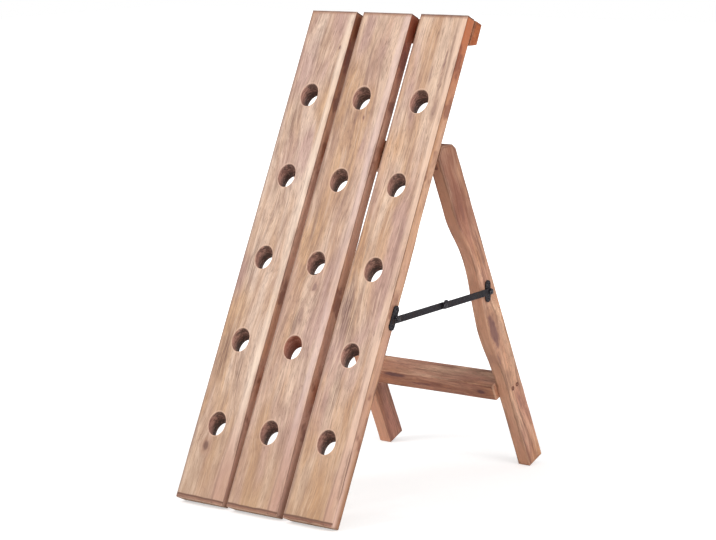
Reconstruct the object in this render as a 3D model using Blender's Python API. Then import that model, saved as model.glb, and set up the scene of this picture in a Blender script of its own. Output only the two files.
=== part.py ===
"""Folding wine rack: three leaning boards drilled for bottle necks, held up by a hinged rear leg frame.

Metres, +Z up. X runs from left to right as seen from the front, and the front faces -Y.
The origin is on the floor, under the middle of the rack's box, with the leg frame open.

Two local frames are used. The board frame has u across the rack, v up the boards from their lower end
and n out of their front face. The leg frame has u across, v up the legs from the hinge pins and n out
of the legs' front face.
"""
import bpy
import bmesh
from math import cos, pi, radians, sin, tan
from mathutils import Matrix, Vector

# Overall
FIT = 0.0003                    # gap left between pieces that touch
OVERRUN = 0.004                 # how far a cutter runs past the face that it opens
BOARD_LEAN = radians(25.75)     # boards, back from upright
LEG_SPLAY = radians(22.9)       # legs, out from upright

# Boards
BOARD_NAMES = ("left", "middle", "right")
BOARD_LENGTH = 0.788
BOARD_WIDTHS = (0.0895, 0.0950, 0.0895)
BOARD_GAPS = (0.0130, 0.0165)
BOARD_THICKNESS = 0.024
BACK_CHAMFER = 0.0012           # along the back's long arrises
FRONT_BEVEL_DROP = 0.003        # the wide bevel round the front face
FRONT_BEVEL_RUN = 0.008         # along the sides
END_BEVEL_RUN = 0.005           # along the ends
HOLES_PER_BOARD = 5
HOLE_DIAMETER = 0.034
HOLE_TILT = radians(28)         # necks point down toward the back, from square to the board
HOLE_PITCH = 0.132
LOWEST_HOLE = 0.120             # board's lower end to the centre of its lowest hole, on the front face
HOLE_SIDE_SHARES = (-0.018, -0.028, -0.012)     # off the board's middle, of its width

# Cross pieces behind the boards
TOP_CLEAT_HEIGHT = 0.041        # on the boards' back, above its level underside
TOP_CLEAT_THICKNESS = 0.017
RAIL_THICKNESS = 0.018
HINGE_RAIL_HEIGHT = 0.046
HINGE_RAIL_DROP = 0.014         # below the middle between the two highest rows of holes
LOWER_RAIL_HEIGHT = 0.040
LOWER_RAIL_LIFT = 0.007         # above the middle between the two lowest rows of holes
RAIL_END_CLEARANCE = 0.0015     # rail end to the inner face of a leg

# Rear legs
LEG_THICKNESS = 0.022
LEG_DEPTH = 0.043
LEG_TOP_RISE = 0.0255           # level top above the hinge pin
LEG_CHAMFER_RUN = 0.006
LEG_CHAMFER_DROP = 0.010
LEG_WAVE_STEPS = 8
# The wavy front edge: how far down the leg each crest or waist is, and the depth left there.
LEG_WAVE_PLACE_SHARES = (0.154, 0.322, 0.5525, 0.7065)
LEG_WAVE_DEPTH_SHARES = (1.0, 0.686, 1.0, 0.82)

# Stretcher between the legs
STRETCHER_HEIGHT = 0.027
STRETCHER_DEPTH = 0.042
STRETCHER_DROP = 0.399          # hinge pin to its top face, along the leg
STRETCHER_PROUD = 0.0087        # its front edge beyond the legs' front edge

# Butt hinges
HINGE_PIN_DROP = 0.0063         # below the middle of the hinge rail
HINGE_END_INSET = 0.0005        # inner end of the hinge to the leg's inner face
HINGE_WIDTH = 0.014
HINGE_LEAF_LENGTH = 0.012
HINGE_LEAF_THICKNESS = 0.0015
KNUCKLE_RADIUS = 0.003
KNUCKLE_COUNT = 3
HINGE_PIN_RADIUS = 0.0014
HINGE_PIN_HEAD_RADIUS = 0.0023
HINGE_PIN_HEAD_RISE = 0.0006

# Folding stays, one on each side
STAY_SHEET = 0.002              # thickness of plates and arms
STAY_PLATE_WIDTH = 0.012
BOARD_PLATE_LENGTH = 0.038
LEG_PLATE_LENGTH = 0.034
STAY_EAR_RADIUS = 0.006
STAY_ARM_WIDTH = 0.0105
FRONT_ARM_LENGTH = 0.110        # between its pivots
BOARD_PIVOT_HEIGHT = 0.319      # up the board from its lower end
LEG_PIVOT_DROP = 0.237          # down the leg from the hinge pin
LEG_PIVOT_INSET = 0.020         # in front of the leg's back edge
STOP_LUG_RISE = 0.0025
STOP_LUG_LENGTH = 0.007
RIVET_RADIUS = 0.0025
RIVET_HEAD_RADIUS = 0.0045
RIVET_HEAD_RISE = 0.0015
RIVET_COLLAR_RADIUS = 0.004

# Wood screws, sunk into the cross pieces and legs
SCREW_RADIUS = 0.0019
SCREW_HEAD_RADIUS = 0.0036
SCREW_HEAD_RISE = 0.0016
SCREW_SINK = 0.0002             # head below the face that it is sunk into
SCREW_TIP_ROOM = 0.001
RAIL_SCREW_LENGTH = 0.030
RAIL_SCREW_SPREAD = 0.013       # hinge rail screws, each side of their middle
RAIL_SCREW_STAGGER = 0.011      # and above or below the rail's middle
STRETCHER_SCREW_LENGTH = 0.040
STRETCHER_SCREW_SPACING = 0.012

# Small screws of the stay plates
PLATE_SCREW_RADIUS = 0.0016
PLATE_SCREW_HEAD_RADIUS = 0.0030
PLATE_SCREW_HEAD_RISE = 0.0009
PLATE_SCREW_LENGTH = 0.014
BOARD_PLATE_SCREW_SPACING = 0.026
LEG_PLATE_SCREW_SPACING = 0.023

# Facets
HOLE_SIDES = 40
ROUND_SIDES = 20
SCREW_SIDES = 10

# Shares of a screw's, rivet's, cleat's or stretcher's own size
SCREW_TIP_SHARE = 0.4
DOME_SHARES = ((1.0, 0.0), (0.94, 0.45), (0.7, 0.82), (0.3, 1.0))
CLEAT_SCREW_SHARE = 0.45
STRETCHER_SCREW_SHARE = 0.62

# Places worked out from the sizes above
HALF_WIDTH = (sum(BOARD_WIDTHS) + sum(BOARD_GAPS)) / 2
LEG_INNER = HALF_WIDTH - LEG_THICKNESS
BOARD_BACK = -BOARD_THICKNESS
BEHIND_BOARD = BOARD_BACK - FIT
HINGE_RAIL_MIDDLE = LOWEST_HOLE + (HOLES_PER_BOARD - 1.5) * HOLE_PITCH - HINGE_RAIL_DROP
LOWER_RAIL_MIDDLE = LOWEST_HOLE + HOLE_PITCH / 2 + LOWER_RAIL_LIFT
OPENING = BOARD_LEAN + LEG_SPLAY

PIN_V = HINGE_RAIL_MIDDLE - HINGE_PIN_DROP
PIN_N = BEHIND_BOARD - KNUCKLE_RADIUS
LEG_FRONT = -(KNUCKLE_RADIUS + FIT)
LEG_BACK = LEG_FRONT - LEG_DEPTH
FOOT_FRONT = LEG_BACK + LEG_DEPTH * LEG_WAVE_DEPTH_SHARES[-1]

# The boards stand on their lower back edge, the toe; the legs stand on their lower front edge.
PIN_BEHIND_TOE = PIN_V * sin(BOARD_LEAN) - (PIN_N - BOARD_BACK) * cos(BOARD_LEAN)
PIN_Z = PIN_V * cos(BOARD_LEAN) + (PIN_N - BOARD_BACK) * sin(BOARD_LEAN)
LEG_REACH = (PIN_Z - FOOT_FRONT * sin(LEG_SPLAY)) / cos(LEG_SPLAY)
HEEL_BEHIND_TOE = PIN_BEHIND_TOE + LEG_REACH * sin(LEG_SPLAY) - LEG_BACK * cos(LEG_SPLAY)
FRONT_BEFORE_TOE = BOARD_THICKNESS * cos(BOARD_LEAN) - END_BEVEL_RUN * sin(BOARD_LEAN)
TOE_Y = -(HEEL_BEHIND_TOE - FRONT_BEFORE_TOE) / 2

ACROSS = Matrix.Rotation(pi / 2, 4, "Y")
TOE_IN_BOARD = Matrix.Translation((0, 0, BOARD_THICKNESS))
BOARD_FRAME = Matrix.Translation((0, TOE_Y, 0)) @ Matrix.Rotation(pi / 2 - BOARD_LEAN, 4, "X") @ TOE_IN_BOARD
PIN_FRAME = BOARD_FRAME @ Matrix.Translation((0, PIN_V, PIN_N))
LEG_FRAME = PIN_FRAME @ Matrix.Rotation(OPENING, 4, "X")

# Layers of a stay, measured outward from the side face of the boards and legs
PLATE_IN = FIT
PLATE_OUT = PLATE_IN + STAY_SHEET
INNER_ARM_IN = PLATE_OUT + FIT
INNER_ARM_OUT = INNER_ARM_IN + STAY_SHEET
OUTER_ARM_IN = INNER_ARM_OUT + FIT
OUTER_ARM_OUT = OUTER_ARM_IN + STAY_SHEET

FINISHES = {
    "board wood": ((0.60, 0.42, 0.30), 0.70, 0.0),
    "frame wood": ((0.42, 0.24, 0.16), 0.68, 0.0),
    "dark iron": ((0.045, 0.045, 0.05), 0.48, 0.9),
}
SIDES = (("left", -1), ("right", 1))


# Making solids
def add_prism(shape, outline, low, high, axes):
    """Extrudes a closed outline. axes names the outline's two directions, then the extrusion's."""
    def corner(*values):
        place = Vector()
        for axis, value in zip(axes, values):
            place["uvn".index(axis)] = value
        return shape.verts.new(place)

    near = [corner(a, b, low) for a, b in outline]
    far = [corner(a, b, high) for a, b in outline]
    shape.faces.new(near)
    shape.faces.new(far)
    for i, start in enumerate(near):
        after = (i + 1) % len(near)
        shape.faces.new((start, near[after], far[after], far[i]))


def add_loft(shape, rings):
    """A closed solid through rings of as many corners each, with its first and last ring filled."""
    for lower, upper in zip(rings, rings[1:]):
        for i, start in enumerate(lower):
            after = (i + 1) % len(lower)
            shape.faces.new((start, lower[after], upper[after], upper[i]))
    shape.faces.new(rings[0])
    shape.faces.new(rings[-1])


def add_turned(shape, profile, place, sides):
    """Turns a profile of (radius, height) pairs about place's Z axis into one closed solid."""
    rings = []
    for radius, height in profile:
        ring = []
        for i in range(sides):
            turn = 2 * pi * i / sides
            ring.append(shape.verts.new(place @ Vector((radius * cos(turn), radius * sin(turn), height))))
        rings.append(ring)
    add_loft(shape, rings)


def make_object(name, shape, frame):
    bmesh.ops.recalc_face_normals(shape, faces=shape.faces)
    mesh = bpy.data.meshes.new(name)
    shape.to_mesh(mesh)
    shape.free()
    item = bpy.data.objects.new(name, mesh)
    item.matrix_world = frame
    bpy.context.collection.objects.link(item)
    return item


def make_piece(name, shape, frame, finish, smooth=False):
    """A real piece of the rack, with its own material."""
    item = make_object(name, shape, frame)
    colour, roughness, metallic = FINISHES[finish]
    material = bpy.data.materials.new(name + " " + finish)
    material.use_nodes = True
    shader = material.node_tree.nodes["Principled BSDF"]
    shader.inputs["Base Color"].default_value = (*colour, 1)
    shader.inputs["Roughness"].default_value = roughness
    shader.inputs["Metallic"].default_value = metallic
    item.data.materials.append(material)
    if smooth:
        item.data.shade_smooth()
        item.data.set_sharp_from_angle(angle=radians(35))
    return item


def combine(item, shape, operation, word):
    """Cuts a finished shape from item, or joins it on, and leaves it in item's frame as a wire guide."""
    guide = make_object(item.name + "_" + word, shape, item.matrix_world)
    guide.hide_render = True
    guide.display_type = "WIRE"
    step = item.modifiers.new(word, "BOOLEAN")
    step.operation = operation
    step.solver = "EXACT"
    step.object = guide


def carry(name, frame, pieces):
    """An empty on a joint's axis that carries the pieces that move with it."""
    pivot = bpy.data.objects.new(name, None)
    pivot.matrix_world = frame
    bpy.context.collection.objects.link(pivot)
    for item in pieces:
        item.parent = pivot
        item.matrix_parent_inverse = frame.inverted()
    return pivot


def arc(centre, radius, start, end):
    """Points along a half turn or less, ends included."""
    points = []
    steps = ROUND_SIDES // 2
    for i in range(steps + 1):
        turn = start + (end - start) * i / steps
        points.append((centre[0] + radius * cos(turn), centre[1] + radius * sin(turn)))
    return points


def aim(place, direction):
    """A frame at place whose Z axis points along direction."""
    return Matrix.Translation(place) @ Vector(direction).to_track_quat("Z", "Y").to_matrix().to_4x4()


# Screws. A seat is a frame on the face that a screw enters, its Z axis pointing out of the wood.
def add_screw_hole(shape, seat, length):
    """A sunk screw's hole: the head's recess, then clearance for the shank."""
    recess = SCREW_SINK + SCREW_HEAD_RISE + FIT
    wide = SCREW_HEAD_RADIUS + FIT
    narrow = SCREW_RADIUS + FIT
    profile = ((narrow, -length - SCREW_TIP_ROOM), (narrow, -recess), (wide, -recess), (wide, OVERRUN))
    add_turned(shape, profile, seat, SCREW_SIDES)


def make_screw(name, seat, length, radius, head_radius, head_top, head_rise):
    """A screw whose tip is length below the seat, with a plain round head."""
    under = head_top - head_rise
    profile = ((radius * SCREW_TIP_SHARE, -length), (radius, radius - length), (radius, under),
               (head_radius, under), (head_radius, head_top))
    shape = bmesh.new()
    add_turned(shape, profile, Matrix(), SCREW_SIDES)
    return make_piece(name, shape, seat, "dark iron", smooth=True)


def make_wood_screw(name, seat, length):
    return make_screw(name, seat, length, SCREW_RADIUS, SCREW_HEAD_RADIUS, -SCREW_SINK, SCREW_HEAD_RISE)


def rail_middle(i):
    """The place across at the middle of what a board and a rail share."""
    end = LEG_INNER - RAIL_END_CLEARANCE
    low = max(board_centre(i) - BOARD_WIDTHS[i] / 2, -end)
    high = min(board_centre(i) + BOARD_WIDTHS[i] / 2, end)
    return (low + high) / 2


def rail_screws():
    """Name, seat and board number, in the board frame, of the screws through each cross piece."""
    def seat(u, v, thickness):
        return aim((u, v, BEHIND_BOARD - thickness), (0, 0, -1))

    cleat_v = BOARD_LENGTH - TOP_CLEAT_HEIGHT * CLEAT_SCREW_SHARE
    screws = []
    for i, side in enumerate(BOARD_NAMES):
        u = rail_middle(i)
        screws.append(("top_cleat_screw_" + side, seat(board_centre(i), cleat_v, TOP_CLEAT_THICKNESS), i))
        screws.append(("lower_rail_screw_" + side, seat(u, LOWER_RAIL_MIDDLE, RAIL_THICKNESS), i))
        for word, way in (("upper", 1), ("lower", -1)):
            v = HINGE_RAIL_MIDDLE + way * RAIL_SCREW_STAGGER
            place = seat(u + way * RAIL_SCREW_SPREAD, v, RAIL_THICKNESS)
            screws.append(("hinge_rail_screw_" + side + "_" + word, place, i))
    return screws


def stretcher_screws(side, way):
    """Name and seat, in the leg frame, of the screws through one leg into the stretcher's end."""
    v = -STRETCHER_DROP - STRETCHER_HEIGHT / 2
    n = STRETCHER_FRONT - STRETCHER_DEPTH * STRETCHER_SCREW_SHARE
    screws = []
    for word, step in (("front", 1), ("back", -1)):
        place = (way * HALF_WIDTH, v, n + step * STRETCHER_SCREW_SPACING / 2)
        screws.append(("stretcher_screw_" + side + "_" + word, aim(place, (way, 0, 0))))
    return screws


# Boards
def board_centre(i):
    """The place across of a board's middle line; each board has a width and a gap of its own."""
    return sum(BOARD_WIDTHS[:i]) + sum(BOARD_GAPS[:i]) + BOARD_WIDTHS[i] / 2 - HALF_WIDTH


def add_board_blank(shape, width):
    """A board from back to front: chamfered back, shoulder, then the front face inside its bevel."""
    rings = []
    for side_inset, end_inset, n in ((BACK_CHAMFER, 0, BOARD_BACK), (0, 0, BOARD_BACK + BACK_CHAMFER),
                                     (0, 0, -FRONT_BEVEL_DROP), (FRONT_BEVEL_RUN, END_BEVEL_RUN, 0)):
        u = width / 2 - side_inset
        top = BOARD_LENGTH - end_inset
        corners = ((-u, end_inset), (u, end_inset), (u, top), (-u, top))
        rings.append([shape.verts.new((*corner, n)) for corner in corners])
    add_loft(shape, rings)


def make_board(i, side):
    """One board with its tilted neck holes and the blind holes of the screws that enter it."""
    shape = bmesh.new()
    add_board_blank(shape, BOARD_WIDTHS[i])
    middle = Matrix.Translation((board_centre(i), 0, 0))
    board = make_piece("board_" + side, shape, BOARD_FRAME @ middle, "board wood")

    holes = bmesh.new()
    radius = HOLE_DIAMETER / 2
    slant = radius * tan(HOLE_TILT)
    neck = ((radius, (BOARD_BACK - OVERRUN) / cos(HOLE_TILT) - slant), (radius, slant + OVERRUN))
    for row in range(HOLES_PER_BOARD):
        place = (HOLE_SIDE_SHARES[i] * BOARD_WIDTHS[i], LOWEST_HOLE + row * HOLE_PITCH, 0)
        axis = Matrix.Translation(place) @ Matrix.Rotation(-HOLE_TILT, 4, "X")
        add_turned(holes, neck, axis, HOLE_SIDES)
    for name, seat, board_number in rail_screws():
        if board_number == i:
            add_screw_hole(holes, middle.inverted() @ seat, RAIL_SCREW_LENGTH)
    for plate_side, way in SIDES:
        if plate_side == side:
            for name, seat in board_plate_screws(side, way):
                add_plate_screw_hole(holes, middle.inverted() @ seat)
    combine(board, holes, "DIFFERENCE", "holes")


# Cross pieces
def make_cross_piece(name, outline, half_length):
    """A cleat or rail behind the boards, from its outline in v and n, with its screws."""
    shape = bmesh.new()
    add_prism(shape, outline, -half_length, half_length, "vnu")
    piece = make_piece(name, shape, BOARD_FRAME, "frame wood")
    holes = bmesh.new()
    for screw, seat, board_number in rail_screws():
        if screw.startswith(name):
            add_screw_hole(holes, seat, RAIL_SCREW_LENGTH)
            make_wood_screw(screw, BOARD_FRAME @ seat, RAIL_SCREW_LENGTH)
    combine(piece, holes, "DIFFERENCE", "holes")


def make_top_cleat():
    """Flush with the boards' top ends and outer sides; its underside is cut level."""
    low = BOARD_LENGTH - TOP_CLEAT_HEIGHT
    back = BEHIND_BOARD - TOP_CLEAT_THICKNESS
    rise = TOP_CLEAT_THICKNESS * tan(BOARD_LEAN)
    outline = ((low, BEHIND_BOARD), (BOARD_LENGTH, BEHIND_BOARD), (BOARD_LENGTH, back), (low + rise, back))
    make_cross_piece("top_cleat", outline, HALF_WIDTH)


def make_rail(name, middle, height):
    """A plain rail that ends just inside the legs, so that they fold down past it."""
    back = BEHIND_BOARD - RAIL_THICKNESS
    low, high = middle - height / 2, middle + height / 2
    outline = ((low, BEHIND_BOARD), (high, BEHIND_BOARD), (high, back), (low, back))
    make_cross_piece(name, outline, LEG_INNER - RAIL_END_CLEARANCE)


# Legs and stretcher
def leg_front_at(down):
    """n of a leg's wavy front edge, at a distance down from the hinge pin."""
    places = [share * LEG_REACH for share in LEG_WAVE_PLACE_SHARES]
    depths = [share * LEG_DEPTH for share in LEG_WAVE_DEPTH_SHARES]
    for i, place in enumerate(places):
        if down <= place:
            if i == 0:
                return LEG_BACK + depths[0]
            way = (down - places[i - 1]) / (place - places[i - 1])
            ease = way * way * (3 - 2 * way)
            return LEG_BACK + depths[i - 1] + (depths[i] - depths[i - 1]) * ease
    return FOOT_FRONT


STRETCHER_FRONT = leg_front_at(STRETCHER_DROP) + STRETCHER_PROUD


def leg_outline():
    """A leg's side view in v and n. Its bevelled top lies against the boards' back while the rack is open."""
    seat = KNUCKLE_RADIUS
    apex = ((seat - LEG_FRONT * cos(OPENING)) / sin(OPENING), LEG_FRONT)
    climb = (LEG_TOP_RISE - seat * sin(BOARD_LEAN)) / cos(BOARD_LEAN)
    top_v = climb * cos(OPENING) + seat * sin(OPENING)
    top_n = seat * cos(OPENING) - climb * sin(OPENING)
    run = (top_n - LEG_BACK) / cos(LEG_SPLAY) - LEG_CHAMFER_RUN
    back_v = top_v - run * sin(LEG_SPLAY)
    points = [apex, (top_v, top_n), (back_v, top_n - run * cos(LEG_SPLAY))]
    points += [(back_v - LEG_CHAMFER_DROP, LEG_BACK), (-LEG_REACH, LEG_BACK), (-LEG_REACH, FOOT_FRONT)]
    places = [share * LEG_REACH for share in reversed(LEG_WAVE_PLACE_SHARES)]
    for lower, upper in zip(places, places[1:]):
        for i in range(LEG_WAVE_STEPS):
            down = lower + (upper - lower) * i / LEG_WAVE_STEPS
            points.append((-down, leg_front_at(down)))
    points.append((-places[-1], LEG_FRONT))
    return points


def make_leg(side, way):
    low, high = sorted((way * HALF_WIDTH, way * LEG_INNER))
    shape = bmesh.new()
    add_prism(shape, leg_outline(), low, high, "vnu")
    leg = make_piece("leg_" + side, shape, LEG_FRAME, "frame wood")
    holes = bmesh.new()
    for name, seat in stretcher_screws(side, way):
        add_screw_hole(holes, seat, STRETCHER_SCREW_LENGTH)
    for name, seat in leg_plate_screws(side, way):
        add_plate_screw_hole(holes, seat)
    combine(leg, holes, "DIFFERENCE", "holes")
    return leg


def make_stretcher():
    """The bar between the legs, a narrow board laid square to them and proud of their front edges."""
    top = -STRETCHER_DROP
    foot = top - STRETCHER_HEIGHT
    back = STRETCHER_FRONT - STRETCHER_DEPTH
    end = LEG_INNER - FIT
    shape = bmesh.new()
    outline = ((foot, back), (top, back), (top, STRETCHER_FRONT), (foot, STRETCHER_FRONT))
    add_prism(shape, outline, -end, end, "vnu")
    stretcher = make_piece("leg_stretcher", shape, LEG_FRAME, "frame wood")
    pieces = [stretcher]
    holes = bmesh.new()
    for side, way in SIDES:
        for name, seat in stretcher_screws(side, way):
            add_screw_hole(holes, seat, STRETCHER_SCREW_LENGTH)
            pieces.append(make_wood_screw(name, LEG_FRAME @ seat, STRETCHER_SCREW_LENGTH))
    combine(stretcher, holes, "DIFFERENCE", "holes")
    return pieces


# Hinges
def make_hinge_leaf(name, frame, across, own_knuckles, facing):
    """A leaf hanging down -v from the pin, with its own knuckles; facing is the way to the wood along n."""
    left = across - HINGE_WIDTH / 2
    right = across + HINGE_WIDTH / 2
    step = HINGE_WIDTH / KNUCKLE_COUNT
    clear = -KNUCKLE_RADIUS - FIT
    rolls = bmesh.new()
    outline = [(left, -HINGE_LEAF_LENGTH), (right, -HINGE_LEAF_LENGTH), (right, clear)]
    for i in reversed(own_knuckles):
        low = left + i * step + (FIT / 2 if i > 0 else 0)
        high = left + (i + 1) * step - (FIT / 2 if i < KNUCKLE_COUNT - 1 else 0)
        outline += [(high, clear), (high, 0), (low, 0), (low, clear)]
        add_turned(rolls, ((KNUCKLE_RADIUS, low), (KNUCKLE_RADIUS, high)), ACROSS, ROUND_SIDES)
    outline.append((left, clear))
    outline = [point for i, point in enumerate(outline) if point != outline[i - 1]]
    face = facing * KNUCKLE_RADIUS
    inside = face - facing * HINGE_LEAF_THICKNESS
    shape = bmesh.new()
    add_prism(shape, outline, min(face, inside), max(face, inside), "uvn")
    leaf = make_piece(name, shape, frame, "dark iron", smooth=True)
    bore = bmesh.new()
    wide = HINGE_PIN_RADIUS + FIT
    add_turned(bore, ((wide, left - OVERRUN), (wide, right + OVERRUN)), ACROSS, ROUND_SIDES)
    combine(leaf, rolls, "UNION", "rolls")
    combine(leaf, bore, "DIFFERENCE", "bore")
    return leaf


def make_hinge(side, way):
    """A butt hinge between the boards' back and a leg's front edge; returns the leg's leaf."""
    across = way * (LEG_INNER + HINGE_END_INSET + HINGE_WIDTH / 2)
    outer_knuckles = tuple(range(0, KNUCKLE_COUNT, 2))
    middle_knuckles = tuple(range(1, KNUCKLE_COUNT, 2))
    make_hinge_leaf("hinge_board_leaf_" + side, PIN_FRAME, across, outer_knuckles, 1)
    end = HINGE_WIDTH / 2 + FIT
    top = end + HINGE_PIN_HEAD_RISE
    profile = ((HINGE_PIN_HEAD_RADIUS, -top), (HINGE_PIN_HEAD_RADIUS, -end), (HINGE_PIN_RADIUS, -end),
               (HINGE_PIN_RADIUS, end), (HINGE_PIN_HEAD_RADIUS, end), (HINGE_PIN_HEAD_RADIUS, top))
    shape = bmesh.new()
    add_turned(shape, profile, Matrix.Translation((across, 0, 0)) @ ACROSS, ROUND_SIDES)
    make_piece("hinge_pin_" + side, shape, PIN_FRAME, "dark iron", smooth=True)
    return make_hinge_leaf("hinge_leg_leaf_" + side, LEG_FRAME, across, middle_knuckles, -1)


# Folding stays
BOARD_PLATE_N = BOARD_BACK + STAY_PLATE_WIDTH / 2
LEG_PIVOT = (-LEG_PIVOT_DROP, LEG_BACK + LEG_PIVOT_INSET)
BOARD_PIVOT_PLACE = BOARD_FRAME @ Vector((0, BOARD_PIVOT_HEIGHT, BOARD_BACK))
LEG_PIVOT_PLACE = LEG_FRAME @ Vector((0, *LEG_PIVOT))
STAY_SPAN = LEG_PIVOT_PLACE - BOARD_PIVOT_PLACE
REAR_ARM_LENGTH = STAY_SPAN.length - FRONT_ARM_LENGTH
STAY_TURN = Vector((0, 1, 0)).rotation_difference(STAY_SPAN).to_matrix().to_4x4()
FRONT_ARM_FRAME = Matrix.Translation(BOARD_PIVOT_PLACE) @ STAY_TURN
REAR_ARM_FRAME = Matrix.Translation(LEG_PIVOT_PLACE) @ STAY_TURN


def side_span(way, low, high):
    """A layer outside the rack's side face, as two places across."""
    return sorted((way * (HALF_WIDTH + low), way * (HALF_WIDTH + high)))


def add_rivet_hole(shape, way, v, n):
    wide = RIVET_RADIUS + FIT
    seat = aim((way * HALF_WIDTH, v, n), (way, 0, 0))
    add_turned(shape, ((wide, -OVERRUN), (wide, OUTER_ARM_OUT + OVERRUN)), seat, ROUND_SIDES)


def add_plate_screw_hole(shape, seat):
    """Cuts a plate and the wood behind it: the head's recess in the plate, then the shank's clearance."""
    recess = PLATE_OUT - SCREW_SINK - PLATE_SCREW_HEAD_RISE - FIT
    wide = PLATE_SCREW_HEAD_RADIUS + FIT
    narrow = PLATE_SCREW_RADIUS + FIT
    bottom = -PLATE_SCREW_LENGTH - SCREW_TIP_ROOM
    profile = ((narrow, bottom), (narrow, recess), (wide, recess), (wide, PLATE_OUT + OVERRUN))
    add_turned(shape, profile, seat, SCREW_SIDES)


def board_plate_screws(side, way):
    screws = []
    for word, step in (("upper", 1), ("lower", -1)):
        v = BOARD_PIVOT_HEIGHT + step * BOARD_PLATE_SCREW_SPACING / 2
        seat = aim((way * HALF_WIDTH, v, BOARD_PLATE_N), (way, 0, 0))
        screws.append(("stay_board_plate_screw_" + side + "_" + word, seat))
    return screws


def leg_plate_screws(side, way):
    screws = []
    for word, step in (("upper", 1), ("lower", -1)):
        reach = step * LEG_PLATE_SCREW_SPACING / 2
        v = LEG_PIVOT[0] + reach * cos(LEG_SPLAY)
        n = LEG_PIVOT[1] - reach * sin(LEG_SPLAY)
        seat = aim((way * HALF_WIDTH, v, n), (way, 0, 0))
        screws.append(("stay_leg_plate_screw_" + side + "_" + word, seat))
    return screws


def make_plate(name, outline, frame, way, pivot, screws):
    """A stay's plate with its rivet hole and sunk screws; returns the plate and its screws."""
    shape = bmesh.new()
    add_prism(shape, outline, *side_span(way, PLATE_IN, PLATE_OUT), "vnu")
    plate = make_piece(name, shape, frame, "dark iron", smooth=True)
    holes = bmesh.new()
    add_rivet_hole(holes, way, *pivot)
    pieces = [plate]
    head = (PLATE_SCREW_HEAD_RADIUS, PLATE_OUT - SCREW_SINK, PLATE_SCREW_HEAD_RISE)
    for screw, seat in screws:
        add_plate_screw_hole(holes, seat)
        pieces.append(make_screw(screw, frame @ seat, PLATE_SCREW_LENGTH, PLATE_SCREW_RADIUS, *head))
    combine(plate, holes, "DIFFERENCE", "holes")
    return pieces


def make_board_plate(side, way):
    """An oblong plate along the board's back edge, with a round ear for the rivet."""
    radius = STAY_PLATE_WIDTH / 2
    reach = BOARD_PLATE_LENGTH / 2 - radius
    outline = arc((BOARD_PIVOT_HEIGHT + reach, BOARD_PLATE_N), radius, -pi / 2, pi / 2)
    outline += arc((BOARD_PIVOT_HEIGHT - reach, BOARD_PLATE_N), radius, pi / 2, 3 * pi / 2)
    outline += arc((BOARD_PIVOT_HEIGHT, BOARD_BACK), STAY_EAR_RADIUS, pi, 2 * pi)
    pivot = (BOARD_PIVOT_HEIGHT, BOARD_BACK)
    make_plate("stay_board_plate_" + side, outline, BOARD_FRAME, way, pivot, board_plate_screws(side, way))


def make_leg_plate(side, way):
    """An oblong plate that stands upright on the leg's side while the rack is open."""
    radius = STAY_PLATE_WIDTH / 2
    reach = LEG_PLATE_LENGTH / 2 - radius
    away = (reach * cos(LEG_SPLAY), -reach * sin(LEG_SPLAY))
    upper = (LEG_PIVOT[0] + away[0], LEG_PIVOT[1] + away[1])
    lower = (LEG_PIVOT[0] - away[0], LEG_PIVOT[1] - away[1])
    outline = arc(upper, radius, -LEG_SPLAY - pi / 2, -LEG_SPLAY + pi / 2)
    outline += arc(lower, radius, -LEG_SPLAY + pi / 2, -LEG_SPLAY + 3 * pi / 2)
    name = "stay_leg_plate_" + side
    return make_plate(name, outline, LEG_FRAME, way, LEG_PIVOT, leg_plate_screws(side, way))


def make_arm(name, outline, frame, way, layer, pivots):
    """A flat arm of a stay, in its own layer, bored at the pivots that it has a rivet through."""
    shape = bmesh.new()
    add_prism(shape, outline, *side_span(way, *layer), "vnu")
    arm = make_piece(name, shape, frame, "dark iron", smooth=True)
    holes = bmesh.new()
    for v in pivots:
        add_rivet_hole(holes, way, v, 0)
    combine(arm, holes, "DIFFERENCE", "holes")
    return arm


def make_front_arm(side, way):
    radius = STAY_ARM_WIDTH / 2
    outline = arc((FRONT_ARM_LENGTH, 0), radius, -pi / 2, pi / 2) + arc((0, 0), radius, pi / 2, 3 * pi / 2)
    layer = (INNER_ARM_IN, INNER_ARM_OUT)
    return make_arm("stay_front_arm_" + side, outline, FRONT_ARM_FRAME, way, layer, (0,))


def make_rear_arm(side, way):
    """The rear arm carries the stop lug, on its upper edge by the middle joint."""
    radius = STAY_ARM_WIDTH / 2
    tip = -REAR_ARM_LENGTH
    slope = STOP_LUG_RISE / 2
    top = radius + STOP_LUG_RISE
    outline = arc((0, 0), radius, -pi / 2, pi / 2)
    outline += [(tip + STOP_LUG_LENGTH + slope, radius), (tip + STOP_LUG_LENGTH, top), (tip + slope, top)]
    outline += arc((tip, 0), radius, pi / 2, 3 * pi / 2)
    layer = (OUTER_ARM_IN, OUTER_ARM_OUT)
    return make_arm("stay_rear_arm_" + side, outline, REAR_ARM_FRAME, way, layer, (0, tip))


def make_rivet(name, frame, way, v, n, foot, base, collar=False):
    """A rivet with a domed head outside; foot and base are the heights of its shank's two ends."""
    profile = [(RIVET_RADIUS, foot)]
    if collar:
        low, high = PLATE_OUT + FIT, OUTER_ARM_IN - FIT
        profile += [(RIVET_RADIUS, low), (RIVET_COLLAR_RADIUS, low)]
        profile += [(RIVET_COLLAR_RADIUS, high), (RIVET_RADIUS, high)]
    profile.append((RIVET_RADIUS, base))
    profile += [(RIVET_HEAD_RADIUS * wide, base + RIVET_HEAD_RISE * rise) for wide, rise in DOME_SHARES]
    shape = bmesh.new()
    add_turned(shape, profile, aim((way * HALF_WIDTH, v, n), (way, 0, 0)), ROUND_SIDES)
    return make_piece(name, shape, frame, "dark iron", smooth=True)


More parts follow.
